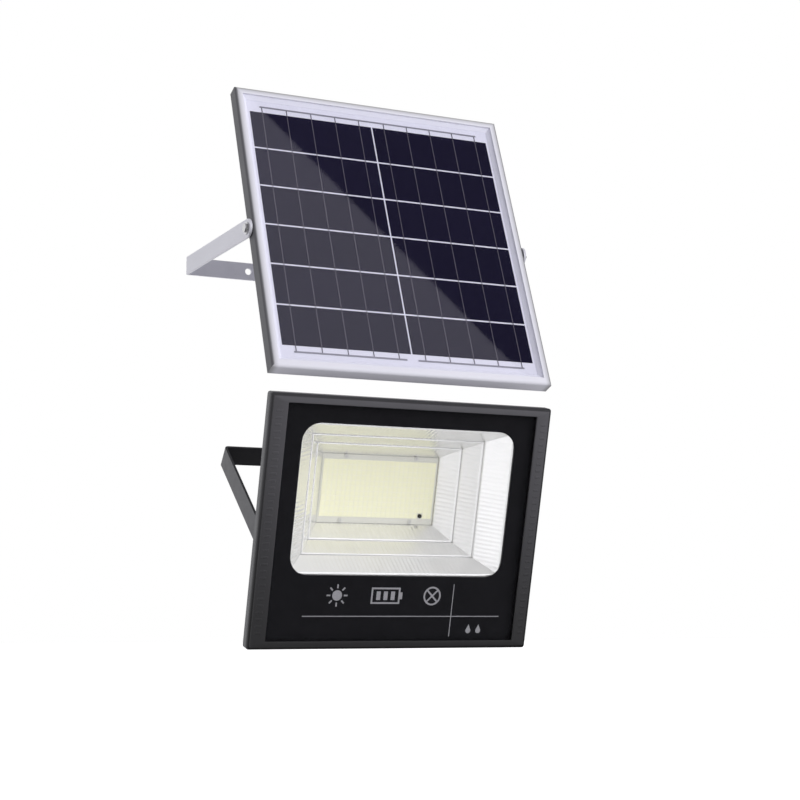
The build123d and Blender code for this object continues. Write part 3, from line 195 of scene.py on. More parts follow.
def clear_glass(name, tint, mirror, ripple, unit):
    """A clear pane: what is behind shows straight through, and the surface mirrors more at a slant."""
    made, tree, shader, output = new_material(name)
    place = local_metres(tree, unit)
    wave = noise(tree, place, WAVE_SCALE, 2.0)
    smear = noise(tree, place, SMEAR_SCALE, 5.0)
    tree.links.new(mix_colour(tree, smear, (0.9, 0.92, 0.92), (1.0, 1.0, 1.0)), shader.inputs["Base Color"])
    tree.links.new(spread(tree, smear, 0.01, 0.03), shader.inputs["Roughness"])
    tree.links.new(bump(tree, wave, ripple), shader.inputs["Normal"])
    shader.inputs["Metallic"].default_value = 1.0
    slant = node(tree, "LayerWeight", values={"Blend": 0.5}).outputs["Facing"]
    rise = calc(tree, "POWER", slant, MIRROR_RISE)
    share = calc(tree, "ADD", calc(tree, "MULTIPLY", rise, 1.0 - mirror), mirror)
    through = node(tree, "BsdfTransparent", values={"Color": (*tint, 1.0)})
    both = node(tree, "MixShader", {0: share, 1: through.outputs[0], 2: shader.outputs[0]})
    tree.links.new(both.outputs[0], output.inputs[0])
    return made


# =====================================================================================
# Mesh helpers
# =====================================================================================


MERGE_DISTANCE = 2e-6
CORNER_SIGNS = ((-1, -1), (1, -1), (1, 1), (-1, 1))


def piece(name, vertices, faces, unit, body, material, slot, replaced=(), smooth=False):
    """A mesh given in a unit's frame in millimetres, riding on a body and standing for CAD nodes."""
    mesh = bpy.data.meshes.new(name)
    mesh.from_pydata([unit @ Vector(v) for v in vertices], [], faces)
    work = bmesh.new()
    work.from_mesh(mesh)
    bmesh.ops.remove_doubles(work, verts=work.verts, dist=MERGE_DISTANCE)
    bmesh.ops.recalc_face_normals(work, faces=work.faces)
    work.to_mesh(mesh)
    work.free()
    if smooth:
        mesh.shade_smooth()
    made = bpy.data.objects.new(name, mesh)
    bpy.context.scene.collection.objects.link(made)
    mesh.materials.append(material)
    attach(made, body)
    if replaced:
        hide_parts(*replaced)
    return made


def round_rectangle(half_x, half_y, radius, middle, level, steps=4):
    """A loop of points round a rectangle with rounded corners."""
    points = []
    for sign_x, sign_y, start in ((1, 1, 0), (-1, 1, 90), (-1, -1, 180), (1, -1, 270)):
        for step in range(steps + 1):
            angle = math.radians(start + 90.0 * step / steps)
            points.append((
                sign_x * (half_x - radius) + radius * math.cos(angle),
                middle + sign_y * (half_y - radius) + radius * math.sin(angle),
                level,
            ))
    return points


def skin(faces, first, count, spans, closed_ring=False):
    """Adds quads between neighbouring loops of count vertices, starting at the vertex first."""
    loop_count = spans if closed_ring else spans + 1
    for span in range(spans):
        low, high = first + span * count, first + (span + 1) % loop_count * count
        for index in range(count):
            after = (index + 1) % count
            faces.append((low + index, low + after, high + after, high + index))


def lofted(loops, closed_ring=False, capped=False):
    """Vertices and faces of a skin through loops of equal length."""
    count = len(loops[0])
    vertices = [point for loop in loops for point in loop]
    faces = []
    skin(faces, 0, count, len(loops) if closed_ring else len(loops) - 1, closed_ring)
    if capped:
        faces.append(tuple(range(count))[::-1])
        faces.append(tuple(range((len(loops) - 1) * count, len(loops) * count)))
    return vertices, faces


WELD_DISTANCE = 5e-6
FLAT_ANGLE = 0.5
SHARP_ANGLE = 35.0
BEVEL_SEGMENTS = 2


def soften(made, width, merge_flat):
    """Rounds a mesh's sharp edges by a width in millimetres, and can merge its flat faces first."""
    weld = made.modifiers.new("weld", "WELD")
    weld.merge_threshold = WELD_DISTANCE
    if merge_flat:
        flat = made.modifiers.new("flat", "DECIMATE")
        flat.decimate_type = "DISSOLVE"
        flat.angle_limit = math.radians(FLAT_ANGLE)
    edge = made.modifiers.new("edge", "BEVEL")
    edge.width = width * MM
    edge.segments = BEVEL_SEGMENTS
    edge.limit_method = "ANGLE"
    edge.angle_limit = math.radians(SHARP_ANGLE)
    edge.harden_normals = True


# =====================================================================================
# Materials of the CAD nodes, one for each slot of the record
# =====================================================================================

FINISHES = {
    "cast_aluminium": dict(colour=(0.5, 0.5, 0.52), rough=0.5, metallic=0.9, grain=1200.0),
    "white_back_sheet": dict(colour=(0.78, 0.78, 0.87), rough=0.55, vary=0.03, blotch=30.0, specular=0.0),
    "cell_ribbon": dict(colour=(0.115, 0.108, 0.135), rough=0.5, vary=0.15, blotch=200.0, grain=4000.0,
                        grain_depth=0.00001, specular=0.0),
    "white_screw": dict(colour=(0.80, 0.80, 0.77), rough=0.4, vary=0.05, blotch=300.0),
    "tinned_copper": dict(colour=(0.28, 0.28, 0.32), rough=0.45, vary=0.1, blotch=200.0, grain=4000.0,
                          grain_depth=0.00001, specular=0.0),
    "black_plastic": dict(colour=(0.03, 0.03, 0.032), rough=0.48, vary=0.15, blotch=60.0, grain=1800.0),
    "zinc_steel": dict(colour=(0.55, 0.55, 0.55), rough=0.35, metallic=1.0, vary=0.1, blotch=300.0),
    "terminal_plastic": dict(colour=(0.05, 0.22, 0.09), rough=0.45),
    "black_paint": dict(colour=(0.045, 0.045, 0.05), rough=0.42, vary=0.1, blotch=30.0, grain=1400.0,
                        grain_depth=0.00005, scuff=0.25, scuff_colour=(0.12, 0.12, 0.12)),
    "black_print": dict(colour=(0.014, 0.014, 0.016), rough=0.5, vary=0.2, blotch=50.0, grain=500.0,
                        grain_depth=0.0, specular=0.0),
    "grey_print": dict(colour=(0.36, 0.36, 0.38), rough=0.5, vary=0.15, blotch=300.0, specular=0.0),
    "silicone_rubber": dict(colour=(0.05, 0.05, 0.05), rough=0.7),
    "thermal_rubber": dict(colour=(0.3, 0.32, 0.35), rough=0.75),
    "reflector_aluminium": dict(colour=(0.96, 0.96, 0.95), rough=0.24, metallic=0.72, vary=0.02,
                                blotch=40.0, grain=700.0, grain_depth=0.00001, unit=LAMP),
    "white_board": dict(colour=(0.86, 0.86, 0.78), rough=0.35, vary=0.03, blotch=60.0),
    "led_phosphor": dict(colour=(0.93, 0.92, 0.66), rough=0.35, vary=0.04, blotch=300.0, grain=3000.0,
                         grain_depth=0.00002),
    "led_moulding": dict(colour=(0.92, 0.91, 0.74), rough=0.4, vary=0.03, blotch=300.0),
    "dark_lens": dict(colour=(0.01, 0.008, 0.008), rough=0.12, vary=0.2),
    "battery_sleeve": dict(colour=(0.03, 0.16, 0.36), rough=0.3, coat=0.3),
    "grey_plastic": dict(colour=(0.2, 0.2, 0.21), rough=0.5),
    "green_board": dict(colour=(0.02, 0.15, 0.06), rough=0.35, coat=0.3),
    "component_black": dict(colour=(0.03, 0.03, 0.03), rough=0.45),
    "bracket_silver": dict(colour=(0.83, 0.83, 0.89), rough=0.36, metallic=0.36, vary=0.08, blotch=45.0,
                           grain=1800.0, grain_depth=0.00003, stretch=(1.0, 0.2, 1.0), scuff=0.4,
                           scuff_colour=(0.45, 0.45, 0.5)),
    "bracket_black": dict(colour=(0.04, 0.04, 0.044), rough=0.40, vary=0.12, blotch=35.0, grain=1300.0,
                          grain_depth=0.00005, scuff=0.4, scuff_colour=(0.16, 0.16, 0.16)),
    "stainless_steel": dict(colour=(0.60, 0.60, 0.60), rough=0.26, metallic=1.0, vary=0.08, blotch=200.0,
                            grain=3000.0, grain_depth=0.00001),
}
SLOTS = {name: finish(name, **look) for name, look in FINISHES.items()}
SLOTS["solar_glass"] = clear_glass("solar_glass", (0.98, 0.98, 0.99), 0.040, 0.000006, PANEL)
SLOTS["cover_glass"] = clear_glass("cover_glass", (0.98, 0.98, 0.98), 0.040, 0.000004, LAMP)

# Solar cells: dark silicon with fine printed fingers across each cell, and each cell a little
# different in tone. The pitches are in metres.
CELL_PITCH = (0.159, 0.0535)
FINGER_PITCH = 0.0016
FINGER_SHARE = 0.05
FINGER_STRENGTH = 0.5


def cell_material():
    """Dark blue silicon under fine pale fingers."""
    made, tree, shader, _ = new_material("silicon_cell")
    place = local_metres(tree, PANEL)
    split = node(tree, "SeparateXYZ", {"Vector": place})
    along, up = split.outputs[0], split.outputs[1]
    column = calc(tree, "FLOOR", calc(tree, "DIVIDE", along, CELL_PITCH[0]))
    above_middle = calc(tree, "SUBTRACT", up, PANEL_MIDDLE * MM)
    row = calc(tree, "FLOOR", calc(tree, "DIVIDE", above_middle, CELL_PITCH[1]))
    which = node(tree, "CombineXYZ", {"X": column, "Y": row})
    tone = node(tree, "TexWhiteNoise", {"Vector": which.outputs[0]}).outputs[0]
    cloud = noise(tree, place, 60.0, 4.0)
    silicon = mix_colour(tree, tone, (0.0080, 0.0070, 0.020), (0.0120, 0.0105, 0.028))
    silicon = mix_colour(tree, calc(tree, "MULTIPLY", cloud, 0.4), silicon, (0.014, 0.012, 0.032))
    phase = calc(tree, "FRACT", calc(tree, "DIVIDE", up, FINGER_PITCH))
    finger = calc(tree, "LESS_THAN", phase, FINGER_SHARE)
    print_share = calc(tree, "MULTIPLY", finger, FINGER_STRENGTH)
    surface = mix_colour(tree, print_share, silicon, (0.08, 0.08, 0.11))
    tree.links.new(surface, shader.inputs["Base Color"])
    tree.links.new(spread(tree, cloud, 0.5, 0.6), shader.inputs["Roughness"])
    tree.links.new(bump(tree, cloud, 0.00002), shader.inputs["Normal"])
    shader.inputs["Specular IOR Level"].default_value = 0.0
    return made


SLOTS["silicon_cell"] = cell_material()


def smooth_step(tree, value, low, high, to_low=0.0, to_high=1.0):
    """A soft step between two values."""
    values = {"From Min": low, "From Max": high, "To Min": to_low, "To Max": to_high}
    return node(tree, "MapRange", {"Value": value}, values, interpolation_type="SMOOTHSTEP").outputs[0]


# Distances across the panel's frame are in metres, and a facing is the part of the surface's
# direction that points away from the panel's middle.
FRAME_HALF_WIDTH = PANEL_HALF[0] * MM
FRAME_TOP = (PANEL_MIDDLE + PANEL_HALF[1]) * MM
# The rest set the painted shade on the frame: a grey band on the top edge, darker paint towards the side
# and top edges, and dark outer walls.
TOP_WALL_START = 0.19
EDGE_SHADE_BAND = 0.009
EDGE_SHADE_SHARE = 0.90
SHADED_WALL_FACING = (0.05, 0.75)
TOP_SHADE_FACING = (0.0, 0.22)


def frame_material():
    """Pale anodised aluminium, with painted shade on the outer walls and towards the side and top edges."""
    made, tree, shader, _ = new_material("frame_aluminium")
    place = local_metres(tree, PANEL)
    along, up, _ = node(tree, "SeparateXYZ", {"Vector": place}).outputs
    facing = node(tree, "TexCoord").outputs["Normal"]
    turned = node(tree, "Mapping", {"Vector": facing}, vector_type="TEXTURE")
    turned.inputs["Rotation"].default_value = PANEL.to_euler()
    facing_x, facing_y, _ = node(tree, "SeparateXYZ", {"Vector": turned.outputs[0]}).outputs
    outwards = calc(tree, "MULTIPLY", facing_x, calc(tree, "SIGN", along))
    # Painted shade: the outer walls, which face away from the panel's middle, are painted dark grey.
    painted_wall_shade = smooth_step(tree, outwards, *SHADED_WALL_FACING)
    # Painted shade: the front is painted darker within a few millimetres of the side and top edges, for the
    # shade on the rounded edge.
    from_side = calc(tree, "SUBTRACT", FRAME_HALF_WIDTH, calc(tree, "ABSOLUTE", along))
    from_edge = calc(tree, "MINIMUM", from_side, calc(tree, "SUBTRACT", FRAME_TOP, up))
    painted_edge_shade = smooth_step(tree, from_edge, 0.0, EDGE_SHADE_BAND, EDGE_SHADE_SHARE, 0.0)
    # Painted shade: faces on the top rail that turn up the panel are painted grey, for the shade on the top
    # edge.
    top = calc(tree, "MULTIPLY", smooth_step(tree, facing_y, *TOP_SHADE_FACING),
               calc(tree, "GREATER_THAN", up, TOP_WALL_START))
    lines = noise(tree, local_metres(tree, PANEL, (1.0, 0.02, 1.0)), 1400.0, 2.0)
    cloud = noise(tree, place, 14.0, 4.0)
    paint = mix_colour(tree, cloud, (0.75, 0.75, 0.82), (0.79, 0.79, 0.85))
    paint = mix_colour(tree, calc(tree, "MULTIPLY", lines, 0.12), paint, (0.62, 0.62, 0.68))
    paint = mix_colour(tree, painted_edge_shade, paint, (0.37, 0.37, 0.38))
    paint = mix_colour(tree, painted_wall_shade, paint, (0.125, 0.125, 0.135))
    paint = mix_colour(tree, top, paint, (0.42, 0.42, 0.42))
    tree.links.new(paint, shader.inputs["Base Color"])
    tree.links.new(spread(tree, cloud, 0.40, 0.50), shader.inputs["Roughness"])
    tree.links.new(bump(tree, lines, 0.000006), shader.inputs["Normal"])
    shader.inputs["Metallic"].default_value = 0.1
    shader.inputs["Specular IOR Level"].default_value = 0.3
    return made


# The rounded rim ends this far in from the bezel's outline, in metres, and is painted darker there as
# shade.
RIM_BAND = (0.0028, 0.0040)
RIM_SHADE = 0.42
# Heights in metres over which the bezel's paint goes from painted shade at the bottom to painted light at
# the upper edge.
PAINTED_LIGHT_RISE = (-0.12, 0.19)


def bezel_material():
    """Satin dark paint with painted light and shade: lighter towards the upper edge and darker towards the
    bottom, and painted shade on the rounded rim.
    """
    made, tree, shader, _ = new_material("bezel_paint")
    place = local_metres(tree, LAMP)
    along, up, _ = node(tree, "SeparateXYZ", {"Vector": place}).outputs
    from_side = calc(tree, "SUBTRACT", BEZEL[0] * MM, calc(tree, "ABSOLUTE", along))
    off_middle = calc(tree, "SUBTRACT", up, LAMP_MIDDLE * MM)
    from_end = calc(tree, "SUBTRACT", BEZEL[1] * MM, calc(tree, "ABSOLUTE", off_middle))
    # Painted shade: the paint is darker on the rounded rim round the outline.
    painted_rim_shade = smooth_step(tree, calc(tree, "MINIMUM", from_side, from_end), *RIM_BAND, RIM_SHADE, 1.0)
    # Painted light and shade: the paint is lighter towards the upper edge and darker towards the bottom.
    painted_light_rise = smooth_step(tree, up, *PAINTED_LIGHT_RISE)
    grain = noise(tree, place, 1500.0, 2.0)
    cloud = noise(tree, place, 40.0, 4.0)
    paint = mix_colour(tree, painted_light_rise, (0.029, 0.029, 0.030), (0.096, 0.094, 0.104))
    paint = mix_colour(tree, calc(tree, "MULTIPLY", cloud, 0.3), paint, (0.045, 0.045, 0.048))
    paint = mix_colour(tree, calc(tree, "MULTIPLY", grain, 0.25), paint, (0.03, 0.03, 0.032))
    paint = node(tree, "VectorMath", {0: paint, "Scale": painted_rim_shade}, operation="SCALE").outputs[0]
    tree.links.new(paint, shader.inputs["Base Color"])
    tree.links.new(spread(tree, cloud, 0.34, 0.46), shader.inputs["Roughness"])
    tree.links.new(bump(tree, grain, 0.00003), shader.inputs["Normal"])
    return made


SLOTS["frame_aluminium"] = frame_material()
SLOTS["bezel_paint"] = bezel_material()
SLOTS["clear_encapsulant"] = SLOTS["solar_glass"]

# A faint glow on the LEDs, which are not switched on: painted light that brightens the LED area.
PAINTED_LED_GLOW = 0.15
for slot, colour in (("led_phosphor", (0.98, 0.98, 0.76)), ("led_moulding", (0.98, 0.98, 0.82))):
    shader = SLOTS[slot].node_tree.nodes["Principled BSDF"]
    shader.inputs["Emission Color"].default_value = (*colour, 1.0)
    shader.inputs["Emission Strength"].default_value = PAINTED_LED_GLOW

for entry in frame["record"]["subparts"]:
    cad_node = frame["nodes"][entry["node"]]
    cad_node.data.materials.clear()
    cad_node.data.materials.append(SLOTS[entry["material_slot"]])

# =====================================================================================
# Solar panel pieces
# =====================================================================================

LAMINATE = (173.0, 188.0)
LAMINATE_CORNER = 1.5
LAMINATE_BACK = 6.55
LAMINATE_FRONT = 10.0
LAMINATE_STEP = 9.88
LAMINATE_SECTION = [
    # inset from the outline, level
    (10.3, LAMINATE_BACK), (6.9, LAMINATE_STEP), (0.2, LAMINATE_STEP), (0.2, LAMINATE_FRONT),
]
loops = [
    round_rectangle(LAMINATE[0] - inset, LAMINATE[1] - inset, LAMINATE_CORNER, PANEL_MIDDLE, level)
    for inset, level in LAMINATE_SECTION
]
piece("laminate_glass", *lofted(loops, capped=True), PANEL, "solar_panel", SLOTS["solar_glass"],
      "solar_glass", ("panel_glass", "encapsulant"))

# A white border strip slopes from the frame's lip down to the back sheet, under the glass.
BORDER_CORNER = 1.0
BORDER_SECTION = [
    # half width, half height, level
    (166.4, 181.4, 6.02), (160.8, 175.0, 6.02), (166.3, 181.3, 9.80), (166.4, 181.4, 9.80),
]
loops = [
    round_rectangle(half_x, half_y, BORDER_CORNER, PANEL_MIDDLE, level)
    for half_x, half_y, level in BORDER_SECTION
]
piece("sheet_border", *lofted(loops, closed_ring=True), PANEL, "solar_panel", SLOTS["white_back_sheet"],
      "white_back_sheet")

# =====================================================================================
# Flood lamp pieces
# =====================================================================================

COVER = (160.0, 137.5)
COVER_BACK = 40.62
COVER_FRONT = 44.5
COVER_CORNER = 2.0
COVER_CHAMFER = 0.5
COVER_SECTION = [
    # inset from the outline, level
    (COVER_CHAMFER, COVER_BACK), (0.0, COVER_BACK + COVER_CHAMFER),
    (0.0, COVER_FRONT - COVER_CHAMFER), (COVER_CHAMFER, COVER_FRONT),
]
loops = [
    round_rectangle(COVER[0] - inset, COVER[1] - inset, COVER_CORNER, LAMP_MIDDLE, level)
    for inset, level in COVER_SECTION
]
piece("cover_pane", *lofted(loops, capped=True), LAMP, "flood_lamp", SLOTS["cover_glass"],
      "cover_glass", ("cover_glass",))

# Bezel: one section swept round the front, from the skirt's lower edge over the rounded rim and
# the sloping face to the opening, then back along the pocket that holds the glass.
BEZEL_SECTION = [
    # inset from the outer edge in X and in Y, level, corner radius
    (2.5, 2.5, 30.5, 1.0), (0.6, 0.6, 30.5, 2.6), (0.0, 0.0, 31.0, 3.0), (0.0, 0.0, 41.4, 3.0),
    (0.3, 0.3, 42.4, 3.0), (1.0, 1.0, 43.1, 2.8), (2.4, 2.4, 43.5, 2.6), (2.9, 2.9, 43.7, 2.4),
    (3.3, 3.2, 44.3, 2.2), (3.8, 3.6, 44.6, 2.1), (18.6, 9.2, 46.8, 1.4), (19.5, 9.7, 46.75, 1.3),
    (20.0, 10.0, 46.2, 1.2), (20.0, 10.0, 44.5, 1.2), (14.5, 5.5, 44.5, 1.2), (14.5, 5.5, 38.5, 1.2),
    (2.5, 2.5, 38.5, 1.0),
]
loops = [round_rectangle(BEZEL[0] - inset_x, BEZEL[1] - inset_y, radius, LAMP_MIDDLE, level)
         for inset_x, inset_y, level, radius in BEZEL_SECTION]
piece("bezel_shell", *lofted(loops, closed_ring=True), LAMP, "flood_lamp", SLOTS["bezel_paint"],
      "bezel_paint", ("front_bezel",), smooth=True)

# Low ribs across the two side bands of the bezel.
RIB_PITCH = 7.75
RIB_COUNT = 33
RIB_HALF = 1.5
RIB_RISE = 0.09
RIB_ROOT = 0.3
RIB_SECTIONS = [
    # inset from the bezel's outer edge, level of the face there, height of the rib
    (6.4, 44.98, 0.0), (7.4, 45.13, RIB_RISE), (13.2, 46.00, RIB_RISE), (14.2, 46.14, 0.0),
]
RIB_PROFILE = [
    # place across the rib, as a share of its half width, and share of its height
    (-1.0, 0.0), (-0.5, 0.8), (0.0, 1.0), (0.5, 0.8), (1.0, 0.0),
]
RIB_LOOP = len(RIB_PROFILE) + 2
vertices, faces = [], []
for side in (-1, 1):
    for rib in range(RIB_COUNT):
        rib_y = LAMP_MIDDLE + (rib - (RIB_COUNT - 1) / 2) * RIB_PITCH
        first = len(vertices)
        for inset, base, rise in RIB_SECTIONS:
            x = side * (BEZEL[0] - inset)
            for offset, share in RIB_PROFILE:
                vertices.append((x, rib_y + offset * RIB_HALF, base + rise * share))
            vertices.append((x, rib_y + RIB_HALF, base - RIB_ROOT))
            vertices.append((x, rib_y - RIB_HALF, base - RIB_ROOT))
        skin(faces, first, RIB_LOOP, len(RIB_SECTIONS) - 1)
        faces.append(tuple(range(first, first + RIB_LOOP)))
        faces.append(tuple(range(len(vertices) - RIB_LOOP, len(vertices))))
piece("bezel_ribs", vertices, faces, LAMP, "flood_lamp", SLOTS["bezel_paint"], "bezel_paint", smooth=True)

# Reflector: sloping steps pressed into flutes that run down the slope, with a narrow groove at the
# foot of each upper step, and a flat rim.
REFLECTOR_MIDDLE = 65.0
STEPS = [
    # half width, half height, level
    (75.0, 41.0, -36.8), (92.0, 56.0, -13.0), (108.0, 68.5, 10.0), (133.0, 84.5, 38.0),
]
RIM = (142.0, 94.0)
SHEET_THICKNESS = 0.7
GROOVE_WIDTH = 0.7
GROOVE_DEPTH = 0.35
FLUTE_PITCH = 5.0
FLUTE_DEPTH = 0.40
ROW_DEPTH = 0.12
SAMPLE = 0.625
RISE_SAMPLES = 12
END_ROW_SHARE = 0.5


def facet(vertices, faces, corners, outward):
    """A grid between two parallel edges, pressed into flutes that run down the slope."""
    low_a, low_b, high_a, high_b = (Vector(c) for c in corners)
    run = round((high_b - high_a).length / SAMPLE)
    depth = ((low_a + low_b) / 2 - (high_a + high_b) / 2).length
    first = len(vertices)
    for j in range(RISE_SAMPLES + 1):
        left = low_a.lerp(high_a, j / RISE_SAMPLES)
        right = low_b.lerp(high_b, j / RISE_SAMPLES)
        for i in range(run + 1):
            point = left.lerp(right, i / run)
            across = (point - (left + right) / 2).length
            along = depth * j / RISE_SAMPLES
            wave = FLUTE_DEPTH * abs(math.sin(math.pi * across / FLUTE_PITCH))
            wave += ROW_DEPTH * math.sin(math.pi * along / FLUTE_PITCH) ** 2
            edge = 0.0 if i in (0, run) else 1.0
            edge *= END_ROW_SHARE if j in (0, RISE_SAMPLES) else 1.0
            vertices.append(tuple(point + outward * (wave * edge)))
    for j in range(RISE_SAMPLES):
        for i in range(run):
            a = first + j * (run + 1) + i
            faces.append((a, a + 1, a + run + 2, a + run + 1))


def ring_quads(vertices, faces, inner, outer, inner_level, outer_level):
    """Four flat quads between two rectangles."""
    first = len(vertices)
    for (half_x, half_y), level in ((inner, inner_level), (outer, outer_level)):
        for sign_x, sign_y in CORNER_SIGNS:
            vertices.append((sign_x * half_x, REFLECTOR_MIDDLE + sign_y * half_y, level))
    skin(faces, first, len(CORNER_SIGNS), 1)


def side_ends(axis, sign, half_x, half_y, level):
    """The two ends of one side of a rectangle round the reflector's middle."""
    if axis == 0:
        return [(sign * half_x, REFLECTOR_MIDDLE + end * half_y, level) for end in (-1, 1)]
    return [(end * half_x, REFLECTOR_MIDDLE + sign * half_y, level) for end in (-1, 1)]


vertices, faces = [], []
for number, (low, high) in enumerate(zip(STEPS, STEPS[1:])):
    groove, drop = (GROOVE_WIDTH, GROOVE_DEPTH) if number else (0.0, 0.0)
    start = (low[0] + groove, low[1] + groove, low[2] - drop)
    if number:
        ring_quads(vertices, faces, low[:2], start[:2], low[2], start[2])
    for axis, sign in ((0, 1), (0, -1), (1, 1), (1, -1)):
        corners = side_ends(axis, sign, *start) + side_ends(axis, sign, *high)
        slope = Vector((0.0, 0.0, -(high[axis] - start[axis])))
        slope[axis] = sign * (high[2] - start[2])
        facet(vertices, faces, corners, slope.normalized())
ring_quads(vertices, faces, STEPS[-1][:2], RIM, STEPS[-1][2], STEPS[-1][2])
reflector = piece("reflector_dimpled", vertices, faces, LAMP, "flood_lamp", SLOTS["reflector_aluminium"],
                  "reflector_aluminium", ("reflector",), smooth=True)
sheet_metal = reflector.modifiers.new("sheet", "SOLIDIFY")
sheet_metal.thickness = SHEET_THICKNESS * MM
sheet_metal.offset = -1.0

# LED packages: a white moulded frame round each chip, filled level with yellow gel.
BOARD_MIDDLE = 65.5
BOARD_TOP = -37.0
CHIP_GRID = (24, 11)
CHIP_AREA = (145.0, 68.0)
CHIP_HALF = (2.8, 2.9)
CHIP_FOOT = (3.0, 3.07)
CHIP_TOP = BOARD_TOP + 0.9
GEL_HALF = (2.5, 2.6)
GEL_GAP = 0.02
RECEIVER_CHIP = (21, 0)
MOULDING_RINGS = [
    # half sizes, level: up the outside, over the top and down into the well for the gel
    (CHIP_FOOT, BOARD_TOP), (CHIP_FOOT, CHIP_TOP - 0.2), (CHIP_HALF, CHIP_TOP), (GEL_HALF, CHIP_TOP),
    (GEL_HALF, CHIP_TOP - 0.3),
]
GEL_RINGS = [
    # the gel lies in the well, a little domed
    (tuple((half - GEL_GAP) * share for half in GEL_HALF), level)
    for share, level in ((1.0, CHIP_TOP - 0.28), (1.0, CHIP_TOP - 0.12), (0.6, CHIP_TOP - 0.05))
]


def add_block(vertices, faces, x, y, rings):
    """Adds a closed block with a rectangular outline at each level."""
    first = len(vertices)
    count = len(CORNER_SIGNS)
    for half, level in rings:
        for sign_x, sign_y in CORNER_SIGNS:
            vertices.append((x + sign_x * half[0], y + sign_y * half[1], level))
    skin(faces, first, count, len(rings) - 1)
    faces.append(tuple(range(first, first + count))[::-1])
    faces.append(tuple(range(len(vertices) - count, len(vertices))))


moulding, gel = ([], []), ([], [])
for column in range(CHIP_GRID[0]):
    for row in range(CHIP_GRID[1]):
        if (column, row) == RECEIVER_CHIP:
            continue
        x = (column - (CHIP_GRID[0] - 1) / 2) * CHIP_AREA[0] / CHIP_GRID[0]
        y = BOARD_MIDDLE + (row - (CHIP_GRID[1] - 1) / 2) * CHIP_AREA[1] / CHIP_GRID[1]
        add_block(*moulding, x, y, MOULDING_RINGS)
        add_block(*gel, x, y, GEL_RINGS)
piece("led_frames", *moulding, LAMP, "flood_lamp", SLOTS["led_moulding"], "led_phosphor")
piece("led_gel", *gel, LAMP, "flood_lamp", SLOTS["led_phosphor"], "led_phosphor", ("led_chips",))

# Pressed and cast edges are slightly rounded.
SOFT_EDGES = [
    # node, width of the rounding in millimetres, whether its flat faces are merged first
    ("panel_bracket", 0.4, True), ("lamp_bracket", 0.5, True), ("rear_housing", 0.5, False),
]
for name, width, merge_flat in SOFT_EDGES:
    soften(frame["nodes"][name], width, merge_flat)

# =====================================================================================
# Stage, light and camera
# =====================================================================================

FLOOR_LEVEL = -0.95
FLOOR_SIZE = 60.0
FLOOR_GLOW = 0.72
floor_material, floor_tree, floor_shader, _ = new_material("floor_paper")
paper = noise(floor_tree, local_metres(floor_tree, None), 300.0)
floor_tree.links.new(mix_colour(floor_tree, paper, (0.86, 0.86, 0.87), (0.88, 0.88, 0.88)),
                     floor_shader.inputs["Base Color"])
floor_shader.inputs["Roughness"].default_value = 0.8
floor_shader.inputs["Emission Color"].default_value = (1.0, 1.0, 1.0, 1.0)
floor_shader.inputs["Emission Strength"].default_value = FLOOR_GLOW
bpy.ops.mesh.primitive_plane_add(size=FLOOR_SIZE, location=(0, 0, FLOOR_LEVEL))
floor = bpy.context.object
floor.name = "floor"
floor.data.materials.append(floor_material)
floor.visible_glossy = False
floor.visible_diffuse = False


def softbox(name, centre, facing, edge, size, watts, colour=(1.0, 1.0, 1.0)):
    """A rectangular soft light: it shines along facing, with its first side along edge."""
    lamp = bpy.data.lights.new(name, "AREA")
    lamp.shape = "RECTANGLE"
    lamp.size, lamp.size_y = size
    lamp.energy = watts
    lamp.color = colour
    made = bpy.data.objects.new(name, lamp)
    bpy.context.scene.collection.objects.link(made)
    back = -Vector(facing).normalized()
    first = Vector(edge)
    first = (first - back * first.dot(back)).normalized()
    second = back.cross(first)
    turn = Matrix((first, second, back)).transposed().to_4x4()
    made.matrix_world = Matrix.Translation(Vector(centre)) @ turn
    return made


# The first box stands where the panel's glass mirrors it, so that its long edge crosses the
# cells from corner to corner. The second is the key light, from the front right.
softbox("mirror_box", centre=(0.594, -1.738, 1.578), facing=(-0.404, 0.506, -0.762),
        edge=(0.709, -0.353, -0.610), size=(1.8, 1.0), watts=3.6, colour=(1.0, 0.96, 1.08))
key_box = softbox("key_box", centre=(2.2, -2.6, 1.5), facing=(-0.6, 0.72, -0.42),
                  edge=(0.77, 0.64, 0.0), size=(1.6, 1.6), watts=48.0)
key_box.visible_glossy = False

world = bpy.data.worlds.new("studio")
bpy.context.scene.world = world
world.use_nodes = True
sky = world.node_tree
sky.nodes.clear()
towards = node(sky, "TexCoord").outputs["Generated"]
DARK_SIDE = 0.36


def slope_along(direction, offset):
    """A brightness that rises evenly along a direction, never below the studio's darkest side."""
    dot = node(sky, "VectorMath", {0: towards}, {1: direction}, operation="DOT_PRODUCT").outputs["Value"]
    return calc(sky, "MAXIMUM", calc(sky, "ADD", dot, offset), DARK_SIDE)


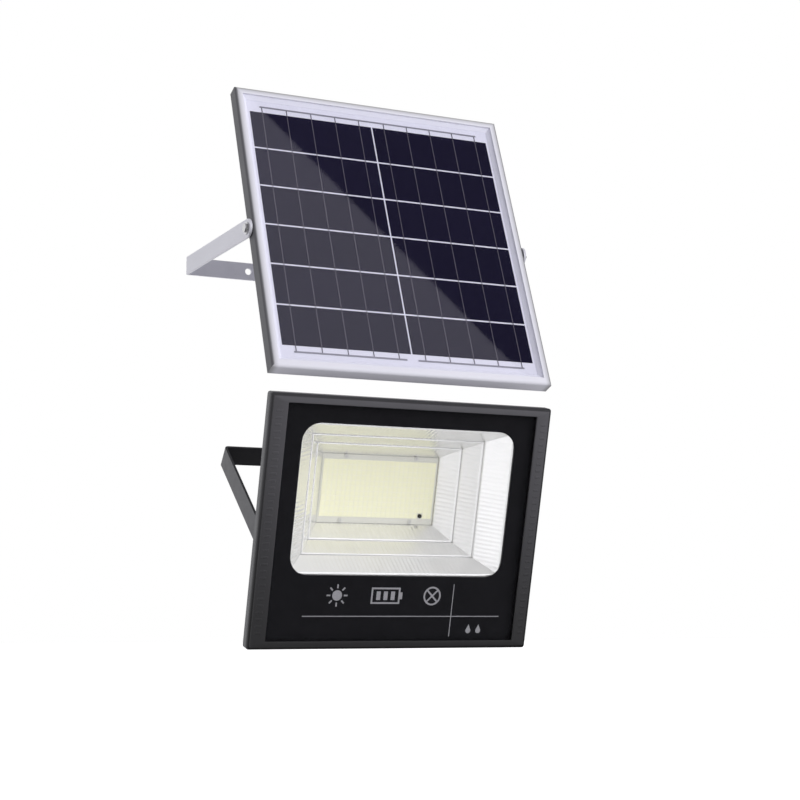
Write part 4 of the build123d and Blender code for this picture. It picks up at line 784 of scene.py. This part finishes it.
# Soft light comes mostly from the front and the right. What shiny surfaces mirror is white to the
# left and behind, dark in front above and below, with a dim band level with the object.
AMBIENT_SLOPE = (0.50, -0.62, -0.06)
AMBIENT_LEVEL = 0.45
BACKDROP_SLOPE = (-0.8, 0.6, 0.0)
BACKDROP_EDGES = (-0.30, 0.45)
BACKDROP_LEVEL = 1.05
BAND_HEIGHT = 0.15
BAND_EDGES = (0.05, 0.40)
BAND_LEVELS = (0.36, 0.015)
ambient_level = slope_along(AMBIENT_SLOPE, AMBIENT_LEVEL)
backdrop_slope = node(sky, "VectorMath", {0: towards}, {1: BACKDROP_SLOPE}, operation="DOT_PRODUCT")
backdrop = smooth_step(sky, backdrop_slope.outputs["Value"], *BACKDROP_EDGES, 0.0, BACKDROP_LEVEL)
height = node(sky, "SeparateXYZ", {"Vector": towards}).outputs[2]
off_band = calc(sky, "ABSOLUTE", calc(sky, "SUBTRACT", height, BAND_HEIGHT))
band = smooth_step(sky, off_band, *BAND_EDGES, *BAND_LEVELS)
mirror_level = calc(sky, "MAXIMUM", backdrop, band)
path = node(sky, "LightPath")
# Behind the lamp's glass the reflector gathers all the soft light. A ray from there has crossed
# more clear faces than this on its way out.
INSIDE_GAIN = 1.45
BACKDROP_GAIN = 1.15
CLEAR_FACES = 3.5
behind_glass = calc(sky, "GREATER_THAN", path.outputs["Transparent Depth"], CLEAR_FACES)
lit_backdrop = calc(sky, "MULTIPLY", backdrop, BACKDROP_GAIN)
gathered = calc(sky, "MULTIPLY", calc(sky, "MAXIMUM", lit_backdrop, ambient_level), INSIDE_GAIN)
mirror_level = node(sky, "Mix", {0: behind_glass, 2: mirror_level, 3: gathered}).outputs[0]
ambient = node(sky, "Background", {"Strength": ambient_level}, {"Color": (0.98, 0.97, 1.0, 1.0)})
mirrored = node(sky, "Background", {"Strength": mirror_level}, {"Color": (0.97, 0.97, 1.0, 1.0)})
seen = node(sky, "Background", values={"Color": (1.0, 1.0, 1.0, 1.0), "Strength": 1.0})
gloss = node(sky, "MixShader",
             {0: path.outputs["Is Glossy Ray"], 1: ambient.outputs[0], 2: mirrored.outputs[0]})
whole = node(sky, "MixShader",
             {0: path.outputs["Is Camera Ray"], 1: gloss.outputs[0], 2: seen.outputs[0]})
node(sky, "OutputWorld", {0: whole.outputs[0]})

bpy.context.scene.view_settings.view_transform = "Standard"

CAMERA_PLACE = (-0.800, -1.964, -0.439)
CAMERA_AZIMUTH = -25.1
CAMERA_ELEVATION = -7.5
LENS = 74.25
SENSOR_WIDTH = 36.0
lens = bpy.data.cameras.new("camera")
lens.sensor_width = SENSOR_WIDTH
lens.lens = LENS
lens.clip_start = 0.01
camera = bpy.data.objects.new("camera", lens)
bpy.context.scene.collection.objects.link(camera)
azimuth, elevation = math.radians(CAMERA_AZIMUTH), math.radians(CAMERA_ELEVATION)
back = Vector((math.sin(azimuth) * math.cos(elevation), -math.cos(azimuth) * math.cos(elevation),
               math.sin(elevation)))
turn = back.to_track_quat("Z", "Y").to_matrix().to_4x4()
camera.matrix_world = Matrix.Translation(Vector(CAMERA_PLACE)) @ turn
bpy.context.scene.camera = camera
